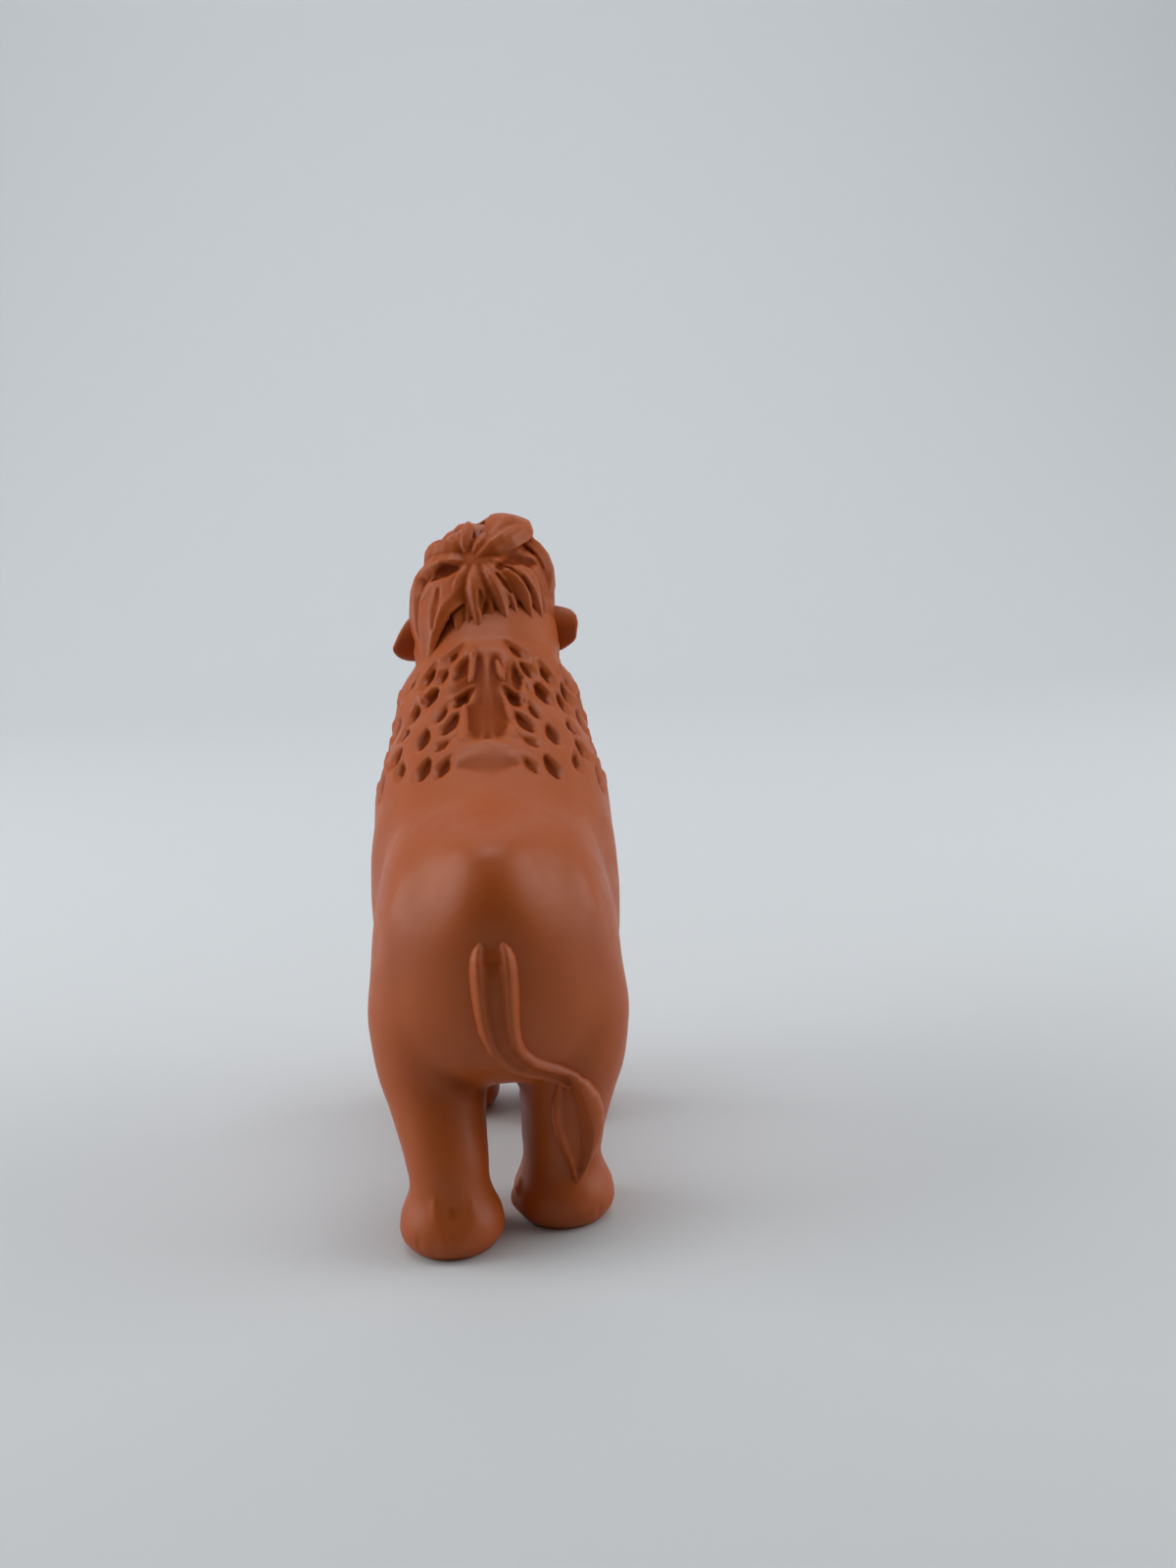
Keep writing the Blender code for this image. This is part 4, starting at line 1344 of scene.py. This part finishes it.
def swept(
    bm: bmesh.types.BMesh, section: list[tuple[float, float]], stations: list[Station]
) -> None:
    """Sweep a closed section through stations by extruding its loop.

    Args:
        bm: the bmesh that gets the closed shape.
        section: points of the section in units of its half sizes.
        stations: where it is placed, from root to tip.
    """
    made = bmesh.ops.create_circle(bm, cap_ends=False, segments=len(section), radius=1.0)
    loop = made["verts"]
    rings = [loop]
    edges = list({e for v in loop for e in v.link_edges})
    for _ in stations[1:]:
        out = bmesh.ops.extrude_edge_only(bm, edges=edges)["geom"]
        edges = [g for g in out if isinstance(g, bmesh.types.BMEdge)]
        previous = set(rings[-2]) if len(rings) > 1 else set()
        fresh = {g for g in out if isinstance(g, bmesh.types.BMVert)}
        ring = []
        for vertex in rings[-1]:
            linked = [e.other_vert(vertex) for e in vertex.link_edges]
            ring.append(next(v for v in linked if v in fresh and v not in previous))
        rings.append(ring)
    for ring, station in zip(rings, stations):
        for vertex, (x, y) in zip(ring, section):
            vertex.co = station.place(x, y)
    ends = set(rings[0]) | set(rings[-1])
    border = [e for v in ends for e in v.link_edges if e.is_boundary]
    bmesh.ops.holes_fill(bm, edges=list(set(border)), sides=0)
    faces = list({f for ring in rings for v in ring for f in v.link_faces})
    bmesh.ops.recalc_face_normals(bm, faces=faces)


def section_of(
    points: int, power: float, crest: float = 0.0, channel: float = 0.0, aside: float = 0.0
) -> list[tuple[float, float]]:
    """Draw a rounded closed section of unit half sizes.

    Args:
        points: how many points it has.
        power: 2 for an ellipse, less for a diamond, more for a box.
        crest: how far its crest leans to one side, from -1 to 1.
        channel: how deep its top is hollowed, as a share of its height.
        aside: where that channel lies, as a share of its half width.

    Returns:
        The points in order.
    """
    made = []
    for index in range(points):
        angle = tau * index / points
        x = abs(cos(angle)) ** (2 / power) * (1 if cos(angle) >= 0 else -1)
        y = abs(sin(angle)) ** (2 / power) * (1 if sin(angle) >= 0 else -1)
        x += crest * max(y, 0.0) * (1 - abs(x))
        if y > 0:
            y *= 1 - channel * max(0.0, 1 - ((x - aside) / CHANNEL_WIDTH) ** 4)
        made.append((x, y))
    return made


@dataclass(frozen=True)
class Lock:
    """One lock of hair: azimuth and elevation in degrees of its root, bend and tip on the dome.

    Width and lift are shares of the usual lock's width and thickness. The crest leans to one side.
    """

    root: tuple[float, float]
    bend: tuple[float, float]
    tip: tuple[float, float]
    width: float
    lift: float
    crest: float = 0.0


@dataclass
class HairTuft:
    """Tousled hair that falls in tapered locks from a whorl behind the crown."""

    centre: Place = (0.0, 23.96, 69.7)
    width: float = 3.5
    thickness: float = 2.4
    caps: tuple[tuple[Place, float], ...] = (
        ((-0.4, 16.0, 79.3), 9.6),
        ((-7.3, 16.7, 72.4), 5.4),
        ((7.4, 18.4, 75.0), 4.6),
        ((8.6, 20.0, 73.0), 5.6),
        ((-0.6, 12.9, 74.2), 5.0),
        ((1.0, 30.0, 78.5), 7.0),
    )
    cap_lift: float = 0.85
    cap_sink: float = 0.25
    cap_slope: float = 2.2
    cap_thickness: float = 1.4
    # How far a lock arches over the dome, and how far its tip sinks, in thicknesses.
    arch: float = 0.28
    tip_sink: float = 0.50
    voxel: float = 0.16 * MM
    # How much of a groove's depth is painted into the colour as shade.
    groove_shade: float = 0.45
    # Painted shade: hair is darkened all over, as if it lay this far under its surroundings.
    hair_shade_depth: float = 0.085 * MM
    # Along a lock, its width and its height, as shares.
    profile: tuple[tuple[float, float, float], ...] = (
        (0.00, 0.42, 0.50),
        (0.08, 0.64, 0.72),
        (0.18, 0.84, 0.92),
        (0.30, 0.96, 1.00),
        (0.42, 1.00, 1.00),
        (0.55, 0.93, 0.93),
        (0.67, 0.78, 0.80),
        (0.78, 0.58, 0.62),
        (0.87, 0.38, 0.44),
        (0.95, 0.18, 0.24),
        (1.00, 0.05, 0.08),
    )
    locks: tuple[Lock, ...] = (
        Lock((-16, 50), (-54, 55), (-100, 32), 1.15, 0.15, 0.5),
        Lock((-16, 42), (-52, 48), (-88, 12), 1.15, 0.1, -0.4),
        Lock((-76, 38), (-72, 2), (-44, -22), 1.75, 0.1, -0.5),
        Lock((-16, 36), (-40, 4), (-29, -23), 2.10, 0.45, -0.5),
        Lock((-30, 34), (-60, 8), (-42, -16), 1.10, 0.0, 0.0),
        Lock((-13, 38), (-22, 15), (-14, -12), 0.85, 0.3, 0.3),
        Lock((-10, 38), (-13, 14), (-9, -9), 0.60, 0.1, -0.3),
        Lock((-6, 38), (-6, 16), (-3, -8), 0.90, 0.45, 0.2),
        Lock((-2, 38), (3, 18), (6, -5), 0.60, 0.0, -0.2),
        Lock((2, 38), (12, 22), (15, -6), 0.85, 0.35, 0.3),
        Lock((5, 40), (20, 26), (24, -7), 0.66, 0.1, 0.3),
        Lock((9, 41), (32, 29), (33, -10), 0.90, 0.4, -0.2),
        Lock((14, 42), (48, 30), (43, -14), 1.05, 0.2, 0.4),
        Lock((72, 70), (100, 34), (52, -8), 1.50, 0.1, 0.5),
        Lock((-4, 45), (100, 88), (122, 46), 1.55, 0.95, 0.4),
        Lock((-5, 47), (50, 86), (112, 70), 1.35, 0.75, 0.0),
        Lock((-8, 47), (4, 62), (30, 72), 0.80, 0.05, 0.0),
        Lock((-6, 44), (34, 74), (112, 60), 1.10, 0.60, 0.3),
        Lock((-14, 46), (-24, 66), (-24, 82), 0.60, 0.70, -0.2),
        Lock((-15, 48), (-34, 62), (-58, 62), 0.80, 0.1, 0.3),
        Lock((-112, 58), (-118, 40), (-122, 20), 1.05, -0.35, -0.4),
        Lock((-126, 66), (-134, 46), (-140, 16), 0.95, -0.40, 0.3),
        Lock((-142, 76), (-150, 52), (-152, 26), 1.00, -0.40, -0.3),
        Lock((-160, 72), (-163, 50), (-168, 16), 1.05, 0.00, 0.4),
        Lock((-178, 68), (-178, 52), (-178, 30), 0.95, 0.05, -0.3),
        Lock((164, 84), (166, 54), (164, 20), 1.05, 0.30, 0.3),
        Lock((146, 82), (150, 54), (150, 28), 0.95, 0.10, -0.4),
        Lock((126, 80), (134, 52), (138, 16), 1.05, 0.30, 0.4),
        Lock((106, 76), (118, 54), (122, 26), 1.10, 0.15, -0.3),
    )
    # Hollows between the locks, darkened further with painted shade.
    grooves: tuple[Groove, ...] = (
        ((-6.7, 16.3, 74.9), (-4.0, 15.2, 76.4), 1.7, 0.45),
        ((-3.4, 12.9, 73.5), (-5.5, 10.9, 67.2), 1.2, 0.35),
        ((-0.4, 12.2, 73.0), (-0.3, 12.1, 70.3), 1.4, 0.22),
        ((3.0, 14.6, 76.8), (7.0, 18.6, 76.9), 2.6, 0.40),
        ((-0.5, 19.6, 81.9), (0.0, 27.0, 82.3), 1.8, 0.80),
        ((-6.3, 14.3, 73.5), (-7.4, 11.3, 69.2), 1.6, 0.18),
        ((2.1, 13.1, 75.6), (3.9, 12.6, 73.2), 0.7, 0.28),
        ((3.3, 14.2, 76.2), (6.6, 14.5, 72.9), 0.7, 0.30),
    )

    def on_dome(self, tree: BVHTree, azimuth: float, elevation: float) -> tuple[Vector, Vector]:
        """Find the skin's point and normal in a direction from the dome's centre.

        Args:
            tree: the skin's search tree.
            azimuth: degrees from straight behind towards the animal's right.
            elevation: degrees above the horizon.

        Returns:
            The point and the outward normal there.
        """
        az, el = radians(azimuth), radians(elevation)
        out = Vector((cos(el) * sin(az), -cos(el) * cos(az), sin(el)))
        hit = tree.ray_cast(Vector(self.centre) * MM + out * 60 * MM, -out)
        return hit[0], hit[1]

    def add_lock(self, bm: bmesh.types.BMesh, tree: BVHTree, lock: Lock) -> None:
        """Sweep one lock over the dome.

        Args:
            bm: the bmesh that gets it.
            tree: the skin's search tree.
            lock: where it runs and how thick it is.
        """
        path, sizes = [], []
        # A narrow lock is thinner too.
        thin = 0.3 + 0.7 * min(1.0, lock.width)
        for t, wide, high in self.profile:
            near, mid, far = (1 - t) ** 2, 2 * t * (1 - t), t**2
            azimuth = near * lock.root[0] + mid * lock.bend[0] + far * lock.tip[0]
            elevation = near * lock.root[1] + mid * lock.bend[1] + far * lock.tip[1]
            point, normal = self.on_dome(tree, azimuth, elevation)
            rise = self.arch * sin(pi * t) + lock.lift * t * (1 - t**5) - self.tip_sink * t**3
            rise *= self.thickness * MM
            path.append((point + normal * rise, normal))
            half_width = wide * lock.width * self.width * MM / 2
            sizes.append((half_width, high * self.thickness * MM / 2 * thin))
        swept(bm, section_of(points=20, power=1.3, crest=lock.crest), stations_on(path, sizes))

    def depth_in_caps(self, place: Vector) -> float:
        """How far inside the caps' balls a place lies, as a share from 0 to 1."""
        shares = [1 - (place / MM - Vector(ball)).length / radius for ball, radius in self.caps]
        return max(0.0, *shares)

    def add_cap(self, bm: bmesh.types.BMesh, skin: bpy.types.Mesh) -> None:
        """Add the cap that the locks grow from, which thins out to nothing at its edge.

        Args:
            bm: the bmesh that gets it.
            skin: the carved skin that it follows.
        """
        cap = bmesh_of(skin)
        outside = [f for f in cap.faces if self.depth_in_caps(f.calc_center_median()) == 0]
        bmesh.ops.delete(cap, geom=outside, context="FACES")
        cap.normal_update()
        for vertex in cap.verts:
            share = min(1.0, self.cap_slope * self.depth_in_caps(vertex.co))
            vertex.co += vertex.normal * (share * self.cap_lift - self.cap_sink) * MM
        bmesh.ops.solidify(cap, geom=cap.faces[:], thickness=self.cap_thickness * MM)
        add_part(bm, cap)

    def build(self, skin: bpy.types.Mesh) -> bpy.types.Mesh:
        """Make the tuft.

        Args:
            skin: the carved skin that it lies on.

        Returns:
            One closed mesh.
        """
        tree = tree_of(skin)
        bm = bmesh.new()
        for lock in self.locks:
            self.add_lock(bm, tree, lock)
        self.add_cap(bm, skin)
        surface = relaxed_skin(bm, "hair_tuft_locks", self.voxel, passes=8)
        surface.relax(2, keep_size=False)
        surface.write()
        carvings = [Carving(*groove, shade=self.groove_shade) for groove in self.grooves]
        carved = carve(surface, tree_of(surface.mesh), carvings)
        surface.mark_hollows(14, carved + self.hair_shade_depth)
        return surface.mesh


@dataclass
class Ear:
    """A small ear: a thin leaf whose upper and lower edges bend forwards."""

    side: Side
    root: Place = (6.62, 20.57, 66.75)
    length: float = 6.8
    height: float = 6.8
    thickness: float = 1.3
    cup: float = 1.3
    sweep: float = radians(-14)
    droop: float = radians(8)
    voxel: float = 0.16 * MM
    # Along the ear, its upper and its lower edge, and its thickness, as shares.
    left_outline: tuple[tuple[float, float, float, float], ...] = (
        (0.00, 0.80, 0.80, 1.30),
        (0.30, 0.96, 0.98, 1.15),
        (0.48, 0.90, 1.02, 1.00),
        (0.62, 0.72, 0.98, 0.95),
        (0.75, 0.48, 0.88, 0.86),
        (0.86, 0.24, 0.74, 0.76),
        (0.94, 0.02, 0.58, 0.60),
        (1.00, -0.16, 0.38, 0.36),
    )
    right_outline: tuple[tuple[float, float, float, float], ...] = (
        (0.00, 0.80, 0.80, 1.30),
        (0.27, 1.00, 1.00, 1.15),
        (0.45, 1.02, 0.94, 1.00),
        (0.60, 0.99, 0.78, 0.92),
        (0.71, 0.94, 0.62, 0.82),
        (0.80, 0.84, 0.46, 0.70),
        (0.86, 0.72, 0.34, 0.56),
        (0.91, 0.50, 0.16, 0.34),
    )

    def build(self) -> bpy.types.Mesh:
        """Sweep the leaf from inside the head to its tip.

        Returns:
            One closed mesh.
        """
        s = self.side.value
        turn = Matrix.Rotation(s * self.sweep, 3, "Z") @ Matrix.Rotation(s * self.droop, 3, "Y")
        out, ahead, up = (turn @ Vector(way) for way in ((s, 0, 0), (0, 1, 0), (0, 0, 1)))
        root = Vector((self.root[0] * s, self.root[1], self.root[2])) * MM
        section = section_of(points=28, power=2.2)
        bm = bmesh.new()
        half = self.height * MM / 2
        outline = self.left_outline if self.side is Side.LEFT else self.right_outline
        stations = [
            Station(
                root + out * (along * self.length * MM) + up * (half * (above - below) / 2),
                ahead,
                up,
                thick * self.thickness * MM / 2,
                half * (above + below) / 2,
            )
            for along, above, below, thick in outline
        ]
        swept(bm, section, stations)
        for vertex in bm.verts:
            reach = (vertex.co - root).dot(up) / (self.height * MM / 2)
            vertex.co += ahead * (self.cup * MM * reach * reach)
        surface = relaxed_skin(bm, f"ear_{self.side.label}_leaf", self.voxel, passes=4)
        surface.mark_hollows(10)
        return surface.mesh


# Across and up in mm, half width, half thickness, and how deep the middle lies.
Row = tuple[float, float, float, float, float]


@dataclass
class Tail:
    """The tail, which lies on the rump, bends to the right and ends in a hollow leaf of hair."""

    voxel: float = 0.18 * MM
    route: tuple[Row, ...] = (
        (-0.14, 38.7, 1.2, 1.1, 1.8),
        (-0.14, 38.3, 1.9, 1.8, 1.5),
        (-0.13, 37.7, 2.4, 2.2, 1.2),
        (-0.10, 36.9, 2.7, 2.5, 1.0),
        (-0.06, 35.6, 2.85, 2.7, 0.9),
        (-0.02, 33.0, 2.85, 2.8, 0.9),
        (0.05, 30.6, 2.70, 2.7, 0.9),
        (0.25, 28.4, 2.50, 2.5, 0.8),
        (0.75, 26.4, 2.20, 2.3, 0.7),
        (1.75, 24.6, 1.90, 2.1, 0.7),
        (3.30, 23.2, 1.60, 1.9, 0.6),
        (5.20, 22.0, 1.40, 1.8, 0.6),
        (7.20, 20.9, 1.25, 1.7, 0.5),
        (8.60, 19.9, 1.20, 1.5, 0.4),
    )
    leaf: tuple[Row, ...] = (
        (7.60, 20.8, 1.0, 1.0, 0.2),
        (8.30, 19.2, 2.1, 1.6, 0.2),
        (8.70, 17.4, 2.9, 2.0, 0.2),
        (8.85, 15.4, 3.2, 2.1, 0.1),
        (8.95, 13.4, 3.1, 2.1, 0.1),
        (8.90, 11.4, 2.6, 1.9, 0.0),
        (8.80, 9.6, 1.9, 1.6, 0.0),
        (8.65, 8.0, 1.2, 1.3, 0.0),
        (8.50, 6.7, 0.55, 0.8, 0.0),
        (8.40, 6.0, 0.20, 0.4, 0.0),
    )
    # The channel between the rims runs out over the tail's upper end.
    open_top: Groove = ((-0.14, -39.6, 39.8), (-0.12, -39.6, 36.2), 3.2, 0.16)

    def stations(self, tree: BVHTree, route: tuple[Row, ...]) -> list[Station]:
        """Lay a route on the rump, as seen from straight behind.

        Args:
            tree: the skin's search tree.
            route: the rows of the tail or of its leaf.

        Returns:
            A station for each row.
        """
        path = []
        for x, z, _, _, sink in route:
            hit = tree.ray_cast(Vector((x, -90, z)) * MM, Vector((0, 1, 0)))
            path.append((hit[0] - hit[1] * (sink * MM), hit[1]))
        return stations_on(path, [(width * MM, height * MM) for _, _, width, height, _ in route])

    def build(self, skin: bpy.types.Mesh) -> bpy.types.Mesh:
        """Make the tail with its leaf.

        Args:
            skin: the carved skin that it lies on.

        Returns:
            One closed mesh.
        """
        tree = tree_of(skin)
        bm = bmesh.new()
        section = section_of(points=40, power=2.6, channel=0.36)
        swept(bm, section, self.stations(tree, self.route))
        section = section_of(points=40, power=2.4, channel=0.60, aside=0.25)
        swept(bm, section, self.stations(tree, self.leaf))
        surface = relaxed_skin(bm, "tail_skin", self.voxel, passes=5)
        carved = carve(surface, tree_of(surface.mesh), [Carving(*self.open_top)])
        surface.mark_hollows(10, carved)
        return surface.mesh


@dataclass
class Tusk:
    """A short tusk with a smooth taper, made from its node."""

    side: Side
    voxel: float = 0.14 * MM

    def build(self) -> bpy.types.Mesh:
        """Round the node's mesh off.

        Returns:
            One closed mesh.
        """
        bm = merged_copy(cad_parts[f"tusk_{self.side.label}"].data)
        surface = relaxed_skin(bm, f"tusk_{self.side.label}_skin", self.voxel, passes=6)
        surface.mark_hollows(8)
        return surface.mesh


@dataclass
class Eye:
    """A small painted eye, set in its hollow."""

    side: Side
    place: Place
    radius: float
    squash: Place = (1.0, 0.86, 0.62)
    sink: float = 0.22

    def build(self, tree: BVHTree) -> bpy.types.Mesh:
        """Make a ball, flattened towards the head, that shows as a low dome.

        Args:
            tree: the skin's search tree.

        Returns:
            One closed mesh.
        """
        s = self.side.value
        aim = Vector((self.place[0] * s, self.place[1], self.place[2])) * MM
        point, normal, _, _ = tree.find_nearest(aim)
        bm = bmesh.new()
        bmesh.ops.create_uvsphere(bm, u_segments=32, v_segments=20, radius=self.radius * MM)
        turn = normal.to_track_quat("Z", "Y").to_matrix().to_4x4()
        squash = Matrix.Diagonal((*self.squash, 1.0))
        middle = Matrix.Translation(point - normal * (self.sink * MM))
        bmesh.ops.transform(bm, matrix=middle @ turn @ squash, verts=bm.verts)
        return mesh_of(bm, f"eye_{self.side.label}_ball")


@dataclass
class Studio:
    """Plain paper sweep, soft lights and the camera at the photograph's angle."""

    half_width: float = 1.6
    front: float = -1.5
    cove_start: float = 0.35
    cove_radius: float = 0.25
    wall_height: float = 1.2
    camera_place: Place = (5.66, -252.36, 102.70)
    yaw: float = radians(1.6)
    pitch: float = radians(12.1)
    roll: float = radians(2.5)
    lens: float = 45.0

    def sweep(self) -> bpy.types.Object:
        """Make the floor, which curves up into the wall behind.

        Returns:
            The paper sweep.
        """
        bm = bmesh.new()
        ends = [bm.verts.new((x * self.half_width, self.front, 0.0)) for x in (-1, 1)]
        edge = bm.edges.new(ends)
        edges = self.extruded(bm, [edge], (0, self.cove_start - self.front, 0))
        turned = bmesh.ops.spin(
            bm,
            geom=edges,
            cent=(0, self.cove_start, self.cove_radius),
            axis=(1, 0, 0),
            dvec=(0, 0, 0),
            angle=pi / 2,
            steps=24,
        )["geom_last"]
        edges = [g for g in turned if isinstance(g, bmesh.types.BMEdge)]
        self.extruded(bm, edges, (0, 0, self.wall_height))
        bmesh.ops.recalc_face_normals(bm, faces=bm.faces)
        for face in bm.faces:
            face.smooth = True
        obj = new_object("paper_sweep", mesh_of(bm, "paper_sweep"))
        obj.data.materials.append(PAPER.material())
        return obj

    def extruded(
        self, bm: bmesh.types.BMesh, edges: list[bmesh.types.BMEdge], by: Place
    ) -> list[bmesh.types.BMEdge]:
        """Extrude edges and move the new ones.

        Args:
            bm: their bmesh.
            edges: the edges.
            by: how far the new ones move, in metres.

        Returns:
            The new edges.
        """
        geom = bmesh.ops.extrude_edge_only(bm, edges=edges)["geom"]
        verts = [g for g in geom if isinstance(g, bmesh.types.BMVert)]
        bmesh.ops.translate(bm, vec=by, verts=verts)
        return [g for g in geom if isinstance(g, bmesh.types.BMEdge)]

    def light(
        self, name: str, place: Place, aim: Place, size: float, power: float, tint: str
    ) -> None:
        """Add one square soft light.

        Args:
            name: the light's name.
            place: where it hangs, in metres.
            aim: the place that it faces.
            size: the length of its sides.
            power: its power in watts.
            tint: its colour as sRGB hex.
        """
        lamp = bpy.data.lights.new(name, "AREA")
        lamp.size = size
        lamp.energy = power
        lamp.color = linear(tint)[:3]
        obj = new_object(name, lamp)
        obj.location = place
        obj.rotation_euler = (Vector(aim) - Vector(place)).to_track_quat("-Z", "Y").to_euler()

    def lights(self) -> None:
        """Hang big soft boxes at both sides and above, with a weak even fill."""
        self.light("box_left", (-0.46, 0.02, 0.22), (0, 0, 0.04), 0.40, 1.40, "FFFFFF")
        self.light("box_right", (0.46, 0.02, 0.22), (0, 0, 0.04), 0.40, 1.02, "FFFFFF")
        self.light("box_top", (0.0, 0.04, 0.55), (0, 0, 0.03), 0.45, 0.18, "FFFFFF")
        self.light("box_wall", (0.0, 0.10, 0.85), (0, 0.62, 0.60), 0.60, 4.6, "FAFCFF")
        world = bpy.data.worlds.new("studio")
        bpy.context.scene.world = world
        world.use_nodes = True
        tree = world.node_tree
        background = tree.nodes["Background"]
        background.inputs["Color"].default_value = linear("F4F3F0")
        # The tent is open, and the room dark, on the side where the photographer stands.
        way = add_node(tree, "ShaderNodeTexCoord").outputs["Generated"]
        parts = add_node(tree, "ShaderNodeSeparateXYZ", links={"Vector": way})
        tent = add_node(
            tree,
            "ShaderNodeMapRange",
            {"From Min": -0.9, "From Max": 0.1, "To Min": 0.02, "To Max": 0.58},
            {"Value": parts.outputs["Y"]},
        ).outputs["Result"]
        seen = add_node(tree, "ShaderNodeLightPath").outputs["Is Camera Ray"]
        strength = add_node(tree, "ShaderNodeMix", {"B": 0.40}, {"Factor": seen, "A": tent})
        tree.links.new(strength.outputs["Result"], background.inputs["Strength"])

    def camera(self) -> None:
        """Put the camera where the photograph was taken from."""
        look = Vector(
            (sin(self.yaw) * cos(self.pitch), cos(self.yaw) * cos(self.pitch), -sin(self.pitch))
        )
        level = Vector((cos(self.yaw), -sin(self.yaw), 0.0))
        upright = level.cross(look)
        right = level * cos(self.roll) - upright * sin(self.roll)
        up = level * sin(self.roll) + upright * cos(self.roll)
        data = bpy.data.cameras.new("camera")
        data.lens = self.lens
        data.sensor_width = 36.0
        data.clip_start = 0.01
        obj = new_object("camera", data)
        frame = Matrix((right, up, -look)).transposed().to_4x4()
        obj.matrix_world = Matrix.Translation(Vector(self.camera_place) * MM) @ frame
        bpy.context.scene.camera = obj

    def build(self) -> None:
        """Set the whole studio up."""
        self.sweep()
        self.lights()
        self.camera()
        bpy.context.scene.view_settings.view_transform = "Standard"


def finish_piece(
    name: str,
    mesh: bpy.types.Mesh,
    material: bpy.types.Material,
    node: str | None,
    smooth: bool = True,
) -> bpy.types.Object:
    """Turn a finished mesh into a piece that rides on the figure.

    Args:
        name: the piece's name.
        mesh: its mesh, in place.
        material: its finish.
        node: the node that it stands for, if any.
        smooth: whether all of its faces are shaded smooth.

    Returns:
        The piece.
    """
    if smooth:
        mesh.shade_smooth()
    mesh.materials.clear()
    mesh.materials.append(material)
    obj = new_object(name, mesh)
    triangles = sum(len(face.vertices) - 2 for face in mesh.polygons)
    if triangles > MOST_TRIANGLES:
        thinning = obj.modifiers.new("thinning", "DECIMATE")
        thinning.ratio = MOST_TRIANGLES / triangles
    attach(obj, "root")
    if node:
        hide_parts(node)
    LOG.info("%s: %d faces", name, len(mesh.polygons))
    return obj


def build_figure() -> None:
    """Build every piece of the figure and dress it."""
    brown, ivory, eye_paint = BROWN_VINYL.material(), IVORY_VINYL.material(), EYE_PAINT.material()
    body = Body()
    pieces, skin = body.build()
    for node, mesh in pieces.items():
        finish_piece(f"{node}_carved", mesh, brown, node, smooth=False)
    finish_piece("hair_locks", HairTuft().build(skin), brown, "hair_tuft")
    finish_piece("tail_carved", Tail().build(skin), brown, "tail")
    tree = tree_of(skin)
    for side in Side:
        ear, tusk = f"ear_{side.label}", f"tusk_{side.label}"
        finish_piece(f"{ear}_carved", Ear(side).build(), brown, ear)
        finish_piece(f"{tusk}_smooth", Tusk(side).build(), ivory, tusk)
        eye = Eye(side, body.face.eye, body.face.eye_radius).build(tree)
        finish_piece(f"eye_{side.label}", eye, eye_paint, None)
    bpy.data.meshes.remove(skin)


def main() -> None:
    """Build the studio and the figure."""
    logging.basicConfig(level=logging.INFO, format="%(message)s")
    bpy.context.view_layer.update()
    Studio().build()
    build_figure()


if __name__ == "__main__":
    main()
